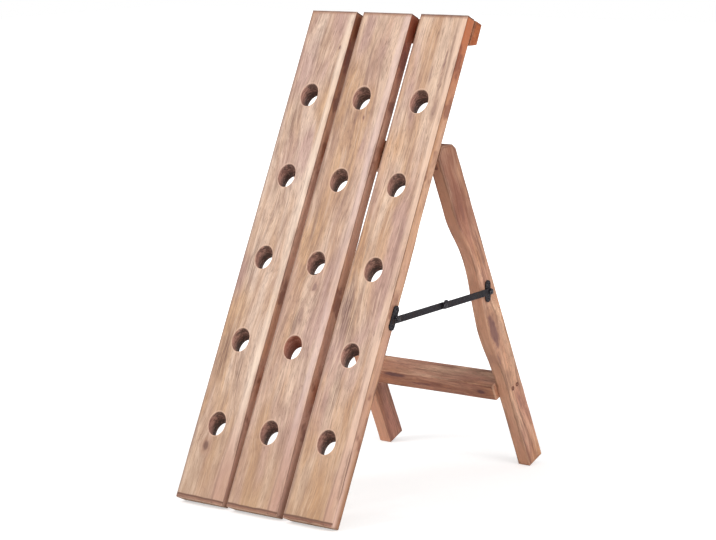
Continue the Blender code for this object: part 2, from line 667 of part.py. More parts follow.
def make_stay(side, way):
    """One folding stay; returns the pieces that go with the leg frame, and those of each arm."""
    make_board_plate(side, way)
    make_rivet("stay_board_rivet_" + side, BOARD_FRAME, way, BOARD_PIVOT_HEIGHT, BOARD_BACK,
               PLATE_IN + FIT, INNER_ARM_OUT + FIT)
    on_leg = make_leg_plate(side, way)
    on_leg.append(make_rivet("stay_leg_rivet_" + side, LEG_FRAME, way, *LEG_PIVOT,
                             PLATE_IN + FIT, OUTER_ARM_OUT + FIT, collar=True))
    front = [make_front_arm(side, way)]
    rear = [make_rear_arm(side, way)]
    rear.append(make_rivet("stay_middle_rivet_" + side, REAR_ARM_FRAME, way, -REAR_ARM_LENGTH, 0,
                           OUTER_ARM_IN, OUTER_ARM_OUT + FIT))
    return on_leg, front, rear


def make_rack():
    for item in list(bpy.data.objects):
        bpy.data.objects.remove(item, do_unlink=True)
    for i, side in enumerate(BOARD_NAMES):
        make_board(i, side)
    make_top_cleat()
    make_rail("hinge_rail", HINGE_RAIL_MIDDLE, HINGE_RAIL_HEIGHT)
    make_rail("lower_rail", LOWER_RAIL_MIDDLE, LOWER_RAIL_HEIGHT)

    swinging = make_stretcher()
    arms = []
    for side, way in SIDES:
        swinging.append(make_leg(side, way))
        swinging.append(make_hinge(side, way))
        on_leg, front, rear = make_stay(side, way)
        swinging += on_leg
        arms.append(("stay_front_pivot_" + side, FRONT_ARM_FRAME, front))
        arms.append(("stay_rear_pivot_" + side, REAR_ARM_FRAME, rear))
    carry("leg_frame_pivot", LEG_FRAME, swinging)
    for name, frame, pieces in arms:
        carry(name, frame, pieces)


make_rack()
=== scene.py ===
import math
import bmesh
import bpy
from mathutils import Matrix, Vector, noise


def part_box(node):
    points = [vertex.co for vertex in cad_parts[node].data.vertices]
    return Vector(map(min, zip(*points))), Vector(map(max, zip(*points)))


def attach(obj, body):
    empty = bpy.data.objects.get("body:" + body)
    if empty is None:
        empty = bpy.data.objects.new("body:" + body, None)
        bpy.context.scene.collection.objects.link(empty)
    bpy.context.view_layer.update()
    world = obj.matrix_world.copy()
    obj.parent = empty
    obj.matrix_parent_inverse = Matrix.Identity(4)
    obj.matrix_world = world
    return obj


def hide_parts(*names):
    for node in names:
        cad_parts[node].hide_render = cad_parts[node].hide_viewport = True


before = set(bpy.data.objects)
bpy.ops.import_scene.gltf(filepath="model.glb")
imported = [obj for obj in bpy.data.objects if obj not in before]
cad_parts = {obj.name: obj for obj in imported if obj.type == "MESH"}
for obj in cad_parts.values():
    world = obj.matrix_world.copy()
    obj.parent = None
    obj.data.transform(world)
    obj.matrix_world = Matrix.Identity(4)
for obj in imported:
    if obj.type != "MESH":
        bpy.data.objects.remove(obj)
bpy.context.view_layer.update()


# The room. A pale floor that runs out to white, a soft lamp in front and to the left of the rack,
# a weaker one to its right, and the camera at the photograph's place.
scene = bpy.context.scene
scene.view_settings.view_transform = "Standard"


def add_object(name, data):
    thing = bpy.data.objects.new(name, data)
    scene.collection.objects.link(thing)
    return thing


class Wire:
    """A node's output to reckon with: + - * / add a Math node to its tree, or a Vector Math node."""
    def __init__(self, socket):
        self.socket, self.tree = socket, socket.id_data

    def __add__(self, other): return reckoned("ADD", self, other)
    def __sub__(self, other): return reckoned("SUBTRACT", self, other)
    def __rsub__(self, other): return reckoned("SUBTRACT", other, self)
    def __mul__(self, other): return reckoned("MULTIPLY", self, other)
    def __truediv__(self, other): return reckoned("DIVIDE", self, other)


def link(wire, socket):
    wire.tree.links.new(wire.socket, socket)


def add_node(tree, kind, inputs=None, **settings):
    """A node with its settings; each input takes a value, or a wire."""
    node = tree.nodes.new(kind)
    for key, value in settings.items():
        setattr(node, key, value)
    for key, value in (inputs or {}).items():
        if isinstance(value, Wire):
            link(value, node.inputs[key])
        else:
            node.inputs[key].default_value = value
    return node


def made(tree, kind, inputs=None, output=0, **settings):
    """The wire that comes out of a new node."""
    return Wire(add_node(tree, kind, inputs, **settings).outputs[output])


def tree_of(values):
    return next(value.tree for value in values if isinstance(value, Wire))


def maths(operation, *values):
    return made(tree_of(values), "ShaderNodeMath", dict(enumerate(values)), operation=operation)


def vectors(operation, *values):
    output = 1 if operation in ("LENGTH", "DOT_PRODUCT") else 0
    return made(tree_of(values), "ShaderNodeVectorMath", dict(enumerate(values)), output, operation=operation)


def reckoned(operation, *values):
    """A sum of plain numbers, or of vectors where one of the two is a vector."""
    in_space = any(isinstance(v, tuple) or isinstance(v, Wire) and v.socket.type == "VECTOR" for v in values)
    return (vectors if in_space else maths)(operation, *values)


def larger(*values):
    return maths("MAXIMUM", *values)


def step_up(value, low, high):
    """0 below low and 1 above high, with a soft step between; the other way round if low is the larger."""
    inputs = {"Value": value, "From Min": low, "From Max": high}
    return made(value.tree, "ShaderNodeMapRange", inputs, interpolation_type="SMOOTHSTEP")


def light_path(tree, kind):
    return made(tree, "ShaderNodeLightPath", output=kind)


def new_material(name, colour, **values):
    """A Principled material with its plain values set; returns it, its tree and its shader."""
    material = bpy.data.materials.new(name)
    material.use_nodes = True
    tree = material.node_tree
    shader = tree.nodes["Principled BSDF"]
    shader.inputs["Base Color"].default_value = colour
    for key, value in values.items():
        shader.inputs[key.replace("_", " ")].default_value = value
    return material, tree, shader


FLOOR_HALF = 9.0
PAPER_GREY = 0.78
WHITE_FROM, WHITE_AT = 0.45, 1.5    # the floor runs out to white between these distances
floor_mesh = bpy.data.meshes.new("studio_floor")
floor_mesh.from_pydata([(-FLOOR_HALF, -FLOOR_HALF, 0), (FLOOR_HALF, -FLOOR_HALF, 0),
                        (FLOOR_HALF, FLOOR_HALF, 0), (-FLOOR_HALF, FLOOR_HALF, 0)], [], [(0, 1, 2, 3)])
studio_floor = add_object("studio_floor", floor_mesh)
paper, tree, shader = new_material("white paper", (PAPER_GREY, PAPER_GREY, PAPER_GREY, 1), Roughness=0.9)
shader.inputs["Specular IOR Level"].default_value = 0.1
seen = larger(light_path(tree, "Is Camera Ray"), light_path(tree, "Is Glossy Ray"))
away = vectors("LENGTH", made(tree, "ShaderNodeTexCoord", output="Object"))
glow = step_up(away, WHITE_FROM, WHITE_AT) * 0.55 + 0.50
glow = made(tree, "ShaderNodeEmission", {"Strength": seen * glow})
both = made(tree, "ShaderNodeAddShader", {0: Wire(shader.outputs[0]), 1: glow})
link(both, tree.nodes["Material Output"].inputs[0])
floor_mesh.materials.append(paper)

world = bpy.data.worlds.new("studio")
world.use_nodes = True
scene.world = world
tree = world.node_tree
seen = larger(light_path(tree, "Is Camera Ray"), light_path(tree, "Is Transmission Ray"))
level = made(tree, "ShaderNodeMapRange", {"Value": seen, "To Min": 0.50, "To Max": 1.0})
background = tree.nodes["Background"]
background.inputs["Color"].default_value = (1, 1, 1, 1)
link(level, background.inputs["Strength"])


def add_lamp(name, place, target, size, power):
    lamp = bpy.data.lights.new(name, "AREA")
    lamp.shape = "DISK"
    lamp.size = size
    lamp.energy = power
    holder = add_object(name, lamp)
    holder.location = place
    holder.rotation_euler = (Vector(target) - Vector(place)).to_track_quat("-Z", "Y").to_euler()


add_lamp("main_lamp", (-1.5, -2.6, 2.2), (0, -0.05, 0.35), 1.6, 59)
add_lamp("side_lamp", (2.6, -0.6, 1.5), (0, 0.05, 0.35), 1.8, 40)

camera_data = bpy.data.cameras.new("photograph")
camera_data.lens = 126.80
camera_data.sensor_width = 36.0
camera_data.sensor_fit = "HORIZONTAL"
camera_data.clip_end = 60
camera = add_object("photograph", camera_data)
camera.location = (2.41304, -2.93011, 0.95981)
camera.rotation_euler = [math.radians(a) for a in (80.6084, 1.0465, 39.3384)]
scene.camera = camera


# The three boards. Solid acacia stock, the middle one sawn wider, each with a wide hand-planed bevel
# round its face, arrises rubbed down by use, and five holes for necks drilled downward on a slant.
BOARD_LEAN = math.radians(25.75)
BOARD_LENGTH = 0.788
BOARD_THICKNESS = 0.024
TOE_BEVEL = 0.005       # along the end of a board as it comes from the frame
HOLE_PITCH = 0.132
LOWEST_HOLE = 0.120
FOOT_ZONE = 0.22        # how far up from the foot the wear there reaches, and the painted shade and painted light on the side faces
# the rest of a board's sizes; some are set anew for each board
BOARD_SIZES = {
    "Width": 0.0895, "Length": BOARD_LENGTH, "Thickness": BOARD_THICKNESS, "Hole Diameter": 0.0318,
    "Hole Pitch": HOLE_PITCH, "Hole Count": 5, "Lowest Hole": LOWEST_HOLE, "Hole Shift": 0.0,
    "Hole Tilt": math.radians(28), "Right Bevel": 0.008, "Left Bevel": 0.005, "End Bevel": 0.0055,
    "Foot Spread": 0.0, "Foot Drop": 0.0, "Bevel Drop": 0.003, "Seed": 0.0}

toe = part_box("board_left")[0].y + BOARD_THICKNESS * math.cos(BOARD_LEAN) - TOE_BEVEL * math.sin(BOARD_LEAN)
board_frame = (Matrix.Translation((0, toe, 0)) @ Matrix.Rotation(math.pi / 2 - BOARD_LEAN, 4, "X")
               @ Matrix.Translation((0, 0, BOARD_THICKNESS)))


def smaller(*values):
    return maths("MINIMUM", *values)


def scaled(vector, by):
    return made(vector.tree, "ShaderNodeVectorMath", {0: vector, "Scale": by}, operation="SCALE")


def parts(vector):
    return [Wire(socket) for socket in add_node(vector.tree, "ShaderNodeSeparateXYZ", {0: vector}).outputs]


def joined(x, y, z):
    return made(tree_of((x, y, z)), "ShaderNodeCombineXYZ", {0: x, 1: y, 2: z})


def mottle(vector, stretch, detail=2.0, roughness=0.5):
    """Noise with its own number of patches to a metre along each axis."""
    inputs = {"Vector": vector * stretch, "Scale": 1.0, "Detail": detail, "Roughness": roughness}
    return made(vector.tree, "ShaderNodeTexNoise", inputs)


def blended(share, first, second, way="MIX"):
    inputs = {0: share, 6: first, 7: second}
    return made(share.tree, "ShaderNodeMix", inputs, 2, data_type="RGBA", blend_type=way)


def laid(colour, *layers):
    """A colour with tones laid over it in turn; each has its share, the tone, and the way if it isn't mixed in."""
    for share, tone, *way in layers:
        colour = blended(share, colour, tone if isinstance(tone, Wire) else tint(*tone), *way)
    return colour


def set_points(mesh, change):
    """A mesh with its points put in another Position, or shifted by an Offset."""
    return made(mesh.tree, "GeometryNodeSetPosition", {"Geometry": mesh, **change})


def tint(red, green, blue):
    """A colour read off a screen, 0 to 255, as the shader takes it."""
    def linear(level):
        level /= 255
        return level / 12.92 if level <= 0.04045 else ((level + 0.055) / 1.055) ** 2.4
    return linear(red), linear(green), linear(blue), 1.0


def shifted(mesh, by):
    return made(mesh.tree, "GeometryNodeTransform", {"Geometry": mesh, "Translation": by})


def cut(mesh, by):
    """A mesh with another one taken out of it."""
    return made(mesh.tree, "GeometryNodeMeshBoolean", {"Mesh 1": mesh, "Mesh 2": by}, operation="DIFFERENCE",
                solver="EXACT")


def new_group(name, kind, inputs, outputs):
    """A node group with named sockets: an input has a value or the name of a kind, an output its kind."""
    group = bpy.data.node_groups.new(name, kind + "NodeTree")

    def add_socket(word, way, sort):
        return group.interface.new_socket(word, in_out=way, socket_type="NodeSocket" + sort)

    for word, value in inputs.items():
        if isinstance(value, str):
            add_socket(word, "INPUT", value)
            continue
        size = len(value) if isinstance(value, tuple) else 1
        sort = "Int" if isinstance(value, int) else {1: "Float", 3: "Vector", 4: "Color"}[size]
        add_socket(word, "INPUT", sort).default_value = value
    for word, sort in outputs.items():
        add_socket(word, "OUTPUT", sort)
    given = {socket.name: Wire(socket) for socket in group.nodes.new("NodeGroupInput").outputs}
    return group, given, group.nodes.new("NodeGroupOutput").inputs


def bevel_depth(x, y, given):
    """How deep a board's bevel lies at a place, each side's share of it, and how much more at the foot."""
    def rippled(width, place):
        return width * (mottle(place, (1, 1, 1)) * 0.6 + 0.7)

    def share(inset, reach):
        return 1.0 - larger(inset, 0.0) / reach

    half, up = given["Width"] * 0.5, y * 11.0
    near_foot = step_up(y, FOOT_ZONE, 0.0)
    reach = rippled(given["Right Bevel"], joined(given["Seed"], up, 0.0)) + given["Foot Spread"] * near_foot
    right = share(half - x, reach)
    left = share(half + x, rippled(given["Left Bevel"], joined(given["Seed"], up, 4.0)))
    reach = rippled(given["End Bevel"], joined(x * 40.0, given["Seed"], 8.0))
    end = share(smaller(y, given["Length"] - y), reach)
    more = larger(right, 0.0) * (given["Foot Drop"] * near_foot)
    return larger(larger(larger(right, left), end), 0.0), right, left, end, more


def board_tree():
    """A block with crowded edge loops, its arrises and worn places pressed down, then drilled."""
    tree, given, result = new_group("drilled board", "Geometry", {
        **BOARD_SIZES, "Hole Rim": 0.0024, "Rubbed Edge": 0.0013, "Back Ease": 0.0029, "Ease From": 0.435,
        "Left Swell": 0.0, "Wood": "Material"}, {"Board": "Geometry"})
    across, along, through = given["Width"], given["Length"], given["Thickness"]
    block = made(tree, "GeometryNodeMeshCube", {
        "Size": joined(across, along, through), "Vertices X": 34, "Vertices Y": 150, "Vertices Z": 9})
    half = scaled(joined(across, along, through), 0.5)
    where = made(tree, "GeometryNodeInputPosition")
    share = where / half
    cube = share * share * share
    crowd = (0.42, 0.45, 0.38)
    crowded = share * tuple(1 + c for c in crowd) - cube * crowd
    mesh = set_points(block, {"Position": crowded * half})

    # arrises rubbed round by an uneven amount
    seed_place = joined(*[given["Seed"]] * 3)
    uneven = mottle(where + seed_place, (38, 22, 30), 2)
    round_by = given["Rubbed Edge"] * (uneven * 2.0 + 0.25)
    core = half - joined(round_by, round_by, round_by)
    inner = vectors("MAXIMUM", vectors("MINIMUM", where, core), core * ((-1,) * 3))
    outward = scaled(vectors("NORMALIZE", where - inner), round_by)
    mesh = set_points(mesh, {"Position": inner + outward})

    # the back's long arrises planed off, down to a little below the middle
    x, y, z = parts(where)
    height = y + along * 0.5
    eased = given["Back Ease"] * step_up(height - given["Ease From"], -0.05, 0.04)
    eased = larger(eased - (z + through * 0.5), 0.0)
    mesh = set_points(mesh, {"Position": joined(x * (1.0 - eased / (across * 0.5)), y, z)})

    # the bevel round the face, a slight unevenness all over it, and one side's swell lower down
    depth, *_, more = bevel_depth(x, height, given)
    hollow = step_up(mottle(where + seed_place, (24, 5, 1), 1), 0.3, 0.75)
    drop = depth * given["Bevel Drop"] + more + hollow * 0.0004
    mesh = set_points(mesh, {"Offset": joined(0.0, 0.0, (z / through + 0.5) * drop * -1.0)})
    swell = given["Left Swell"] * (0.5 - x / across) * step_up(height, 0.46, 0.36)
    mesh = set_points(mesh, {"Offset": joined(swell * -1.0, 0.0, 0.0)})
    mesh = shifted(mesh, joined(0.0, along * 0.5, through * -0.5))

    # a slanting cutter for each hole, flared at both faces and a little out of true
    deep = through + 0.003
    cutter = made(tree, "GeometryNodeMeshCylinder", {
        "Vertices": 56, "Side Segments": 26, "Radius": given["Hole Diameter"] * 0.5, "Depth": deep}, output="Mesh")
    level = maths("ABSOLUTE", z / (deep * 0.5))
    height = (level * 1.42 - maths("POWER", level, 3.0) * 0.42) * (deep * 0.5)
    flare = larger(1.0 - (through * 0.5 - height) / given["Hole Rim"], 0.0)
    wobble = mottle(where + seed_place, (60, 60, 25), 1) - 0.5
    wider = flare * flare * (given["Hole Rim"] * 0.55) + wobble * 0.0012
    flat = joined(x, y, 0.0)
    side = maths("SIGN", z) * height
    x, y, _ = parts(flat + scaled(vectors("NORMALIZE", flat), wider))
    slope = maths("TANGENT", given["Hole Tilt"])
    y = y / maths("COSINE", given["Hole Tilt"])
    cutter = set_points(cutter, {"Position": joined(x, y + side * slope, side)})
    middle = through * -0.5
    lowest = given["Lowest Hole"] + middle * slope
    row = made(tree, "GeometryNodeMeshLine", {
        "Count": given["Hole Count"],
        "Start Location": joined(given["Hole Shift"], lowest, middle),
        "Offset": joined(0.0, given["Hole Pitch"], 0.0)}, mode="OFFSET")
    cutters = made(tree, "GeometryNodeInstanceOnPoints", {"Points": row, "Instance": cutter})
    cutters = made(tree, "GeometryNodeRealizeInstances", {0: cutters})
    link(finish_tree(tree, cut(mesh, cutters), given["Wood"], math.radians(32)), result["Board"])
    return tree


def finish_tree(tree, geometry, material, fold):
    """The end of every tree: instances made real, faces smooth but for folds, and the material set."""
    geometry = made(tree, "GeometryNodeRealizeInstances", {0: geometry})
    geometry = made(tree, "GeometryNodeSetShadeSmooth", {0: geometry, 2: True}, domain="FACE")
    sharp = maths("GREATER_THAN", made(tree, "GeometryNodeInputMeshEdgeAngle"), fold)
    geometry = made(tree, "GeometryNodeSetShadeSmooth", {0: geometry, 1: sharp, 2: False}, domain="EDGE")
    return made(tree, "GeometryNodeSetMaterial", {0: geometry, 2: material})


def grown(name, tree, values, place, start=None):
    """Runs a geometry tree with its named inputs, and puts the plain mesh that comes out in its place."""
    maker = add_object(name + "_maker", start or bpy.data.meshes.new(name + "_start"))
    modifier = maker.modifiers.new("make", "NODES")
    modifier.node_group = tree
    for item in tree.interface.items_tree:
        if item.item_type == "SOCKET" and item.in_out == "INPUT" and item.name in values:
            modifier[item.identifier] = values[item.name]
    view = bpy.context.evaluated_depsgraph_get()
    mesh = bpy.data.meshes.new_from_object(maker.evaluated_get(view))
    mesh.name = name
    bpy.data.objects.remove(maker)
    mesh.transform(place)
    return add_object(name, mesh)


def grain_group():
    """Acacia's colour: tan, pink and olive drifts, dark streaks, growth rings, fibres and pores."""
    group, given, result = new_group("acacia grain", "Shader", {
        "Vector": (0.0, 0.0, 0.0), "Seed": 0.0, "End": 0.0, "Streaks": 1.0, "Body": tint(216, 180, 153),
        "Pale": tint(240, 212, 190), "Blush": tint(194, 155, 146), "Olive": tint(206, 160, 114),
        "Dark": tint(134, 98, 86), "End Tone": tint(150, 108, 86)},
        {"Color": "Color", "Height": "Float", "Roughness": "Float"})
    shift = joined(*[given["Seed"]] * 3) * (1.7, 0.9, 1.3)
    moved = given["Vector"] + shift
    sway = mottle(moved, (8, 3.5, 8), 2) - 0.5
    bent = moved + joined(sway, 0.0, sway) * (0.05, 0, 0.03)
    broad = mottle(bent, (40, 4.0, 40), 3)
    streak = mottle(bent, (110, 7.0, 110), 4, 0.62)
    fibre = mottle(bent, (520, 26, 520), 3, 0.65)
    blotch = mottle(moved + (0.7, 2.9, 5.3), (55, 24, 55), 3, 0.6)
    drift = mottle(moved, (20, 6, 20), 3)
    haze = mottle(moved + (3.1, 1.7, 0.4), (20, 5, 20), 2)
    pore = step_up(mottle(bent, (1100, 70, 1100), 1), 0.58, 0.66)
    x, _, z = parts(bent - shift)
    radius = vectors("LENGTH", joined(x, 0.0, z + (sway * 0.10 + 0.055)))
    ring = maths("POWER", maths("SINE", radius * 780.0 + streak * 3.5) * 0.5 + 0.5, 2.0)

    colour = blended(step_up(broad, 0.38, 0.64), given["Body"], given["Pale"])
    light = step_up(mottle(bent + (6.1, 0.3, 2.2), (260, 13, 260), 2), 0.52, 0.72)
    colour = laid(
        colour, (step_up(drift, 0.45, 0.64) * 0.75, given["Blush"]),
        (step_up(haze, 0.48, 0.64) * 0.65, given["Olive"]),
        (step_up(blotch, 0.36, 0.70) * 0.30, given["Dark"]),
        (step_up(streak, 0.46, 0.74) * (given["Streaks"] * 0.58), given["Dark"]),
        (ring * (given["End"] * 0.25 + 0.07), given["Dark"]),
        (step_up(fibre, 0.38, 0.68) * 0.34, given["Dark"]),
        (pore * 0.40, (104, 72, 60)), (light * 0.40, given["Pale"]), (given["End"] * 0.62, given["End Tone"]))
    link(colour, result["Color"])
    link(fibre * 0.5 + streak * 0.35 - (pore + ring) * 0.18, result["Height"])
    link(streak * 0.22 + 0.46 + given["End"] * 0.15, result["Roughness"])
    return group


def knot_group():
    """A knot: a dark oval with a darker heart, which the grain runs round."""
    group, given, result = new_group("knot", "Shader", {
        "Vector": (0.0, 0.0, 0.0), "Across": 0.0, "Along": 0.0, "Radius": 0.006, "Stretch": 1.6},
        {"Bent": "Vector", "Mask": "Float", "Halo": "Float"})
    x, y, z = parts(given["Vector"])
    side = x - given["Across"]
    rise = (y - given["Along"]) / given["Stretch"]
    ragged = mottle(given["Vector"], (150, 110, 150)) * 0.9 + 0.55
    reach = vectors("LENGTH", joined(side, rise, 0.0)) * ragged / given["Radius"]
    link(joined(x - side * step_up(reach, 3.4, 0.4) * 0.7, y, z), result["Bent"])
    link(step_up(reach, 1.15, 0.5), result["Mask"])
    link(step_up(reach, 2.4, 0.8), result["Halo"])
    return group


def wear_group():
    """A pale rubbed band of uneven width along an arris, and the darker dirt beside it."""
    group, given, result = new_group("worn arris", "Shader", {
        "Vector": (0.0, 0.0, 0.0), "Gap": 1.0, "Width": 0.002, "Seed": 0.0},
        {"Worn": "Float", "Dirt": "Float"})
    moved = given["Vector"] + joined(*[given["Seed"]] * 3)
    width = larger(given["Width"] * (mottle(moved, (70, 40, 70), 3, 0.6) * 2.4 + -0.35), 0.00012)
    link(step_up(given["Gap"], width, width * 0.4), result["Worn"])
    patches = step_up(mottle(moved + (5, 5, 5), (30, 14, 30)), 0.45, 0.65)
    link(step_up(given["Gap"], width * 2.2, width) * patches, result["Dirt"])
    return group


def board_group():
    """Where a point lies on a board: its distance from an arris, the bevels, the holes' walls and rims."""
    group, given, result = new_group("board places", "Shader", {
        "Vector": (0.0, 0.0, 0.0), **{name: float(size) for name, size in BOARD_SIZES.items()}},
        {name: "Float" for name in ("Gap", "Right", "Left", "End", "Line", "Wall", "Rim", "Turn", "Depth")})
    x, y, z = parts(given["Vector"])
    from_side = given["Width"] * 0.5 - maths("ABSOLUTE", x)
    from_end = smaller(y, given["Length"] - y)
    _, right, left, end, more = bevel_depth(x, y, given)
    below = z * -1.0 - (given["Bevel Drop"] + more)
    from_face = smaller(larger(below, 0.0), z + given["Thickness"])
    second = smaller(larger(from_side, from_end), from_face)
    link(larger(smaller(from_side, from_end), second), result["Gap"])

    face = step_up(below, 0.0012, 0.0)
    for share, name in ((right, "Right"), (left, "Left"), (end, "End")):
        link(step_up(share, -0.45, 0.30) * face, result[name])
    line = step_up(right, -0.16, -0.02) * step_up(right, 0.20, 0.03)
    foot = step_up(end, -0.35, -0.05) * step_up(end, 0.45, 0.05) * step_up(y, 0.03, 0.012)
    link(larger(line, foot * 2.5) * face, result["Line"])

    place = (y - given["Lowest Hole"]) / given["Hole Pitch"]
    place = smaller(larger(maths("ROUND", place + 0.05), 0.0), given["Hole Count"] - 1.0)
    centre = given["Lowest Hole"] + place * given["Hole Pitch"] + z * maths("TANGENT", given["Hole Tilt"])
    rise = (y - centre) * maths("COSINE", given["Hole Tilt"])
    offset = joined(x - given["Hole Shift"], rise, 0.0)
    reach = given["Hole Diameter"] * 0.5
    link(vectors("DOT_PRODUCT", offset, (0.75, 0.66, 0.0)) / reach, result["Turn"])
    beyond = vectors("LENGTH", offset) - reach
    inside = smaller(z * -1.0, z + given["Thickness"])
    wall = step_up(beyond, 0.0026, 0.0014) * step_up(inside, 0.0004, 0.0016)
    link(wall, result["Wall"])
    link(step_up(beyond, 0.0030, 0.0012) * (1.0 - wall), result["Rim"])
    link(z * -1.0 / given["Thickness"], result["Depth"])
    return group


grain, knot, worn, board_places = grain_group(), knot_group(), wear_group(), board_group()


def use_group(tree, group, inputs):
    """The outputs of a shared group put into a tree, by name."""
    node = add_node(tree, "ShaderNodeGroup", inputs, node_tree=group)
    return {socket.name: Wire(socket) for socket in node.outputs}


def own_place(tree, place):
    """A point's place in a timber's own frame: x across it, y along its grain, z through it."""
    spot = made(tree, "ShaderNodeTexCoord", output="Object")
    return made(tree, "ShaderNodeMapping", {
        "Vector": spot, "Location": place.to_translation(), "Rotation": place.to_euler()}, vector_type="TEXTURE")


def faces_along(tree, place, axis, low, high):
    """1 on the faces that look along an axis of a timber's place or against it."""
    normal = made(tree, "ShaderNodeTexCoord", output="Normal")
    facing = vectors("DOT_PRODUCT", normal, tuple(place.to_3x3() @ Vector(axis)))
    return step_up(maths("ABSOLUTE", facing), low, high)


def named(tones):
    """Tones as a group's inputs: end_tone becomes End Tone."""
    return {key.replace("_", " ").title(): tint(*tone) for key, tone in tones.items()}


def start_timber(name, place, seed, knots, streaks=1.0, **tones):
    """A timber's material as far as its grain and knots; returns what the rest of it builds on."""
    material, tree, shader = new_material(name, tint(210, 172, 146), Roughness=0.55)
    shader.inputs["Specular IOR Level"].default_value = 0.35
    spot = own_place(tree, place)
    end = faces_along(tree, place, (0, 1, 0), 0.75, 0.95)
    bent, marks = spot, []
    for across, along, radius, stretch, depth in knots:
        found = use_group(tree, knot, {"Vector": bent, "Across": across, "Along": along, "Radius": radius,
                                       "Stretch": stretch})
        bent = found["Bent"]
        marks.append((found["Mask"], found["Halo"], depth))
    figure = use_group(tree, grain, {
        "Vector": bent, "Seed": seed, "End": end, "Streaks": streaks, **named(tones)})
    colour = figure["Color"]
    for mask, halo, depth in marks:
        colour = laid(colour, (halo * (0.45 * depth), (158, 108, 88)), (mask * (0.9 * depth), (100, 62, 66)))
    return material, tree, shader, spot, figure, colour


def end_shader(shader, colour, roughness, height, strength, distance):
    """Links a material's finished colour, its sheen and its surface."""
    bump = {"Strength": strength, "Distance": distance, "Height": height}
    link(colour, shader.inputs["Base Color"])
    link(roughness, shader.inputs["Roughness"])
    link(made(height.tree, "ShaderNodeBump", bump), shader.inputs["Normal"])


def end_timber(shader, figure, colour, dirt):
    end_shader(shader, colour, figure["Roughness"] + dirt * 0.12, figure["Height"], 0.6, 0.0009)


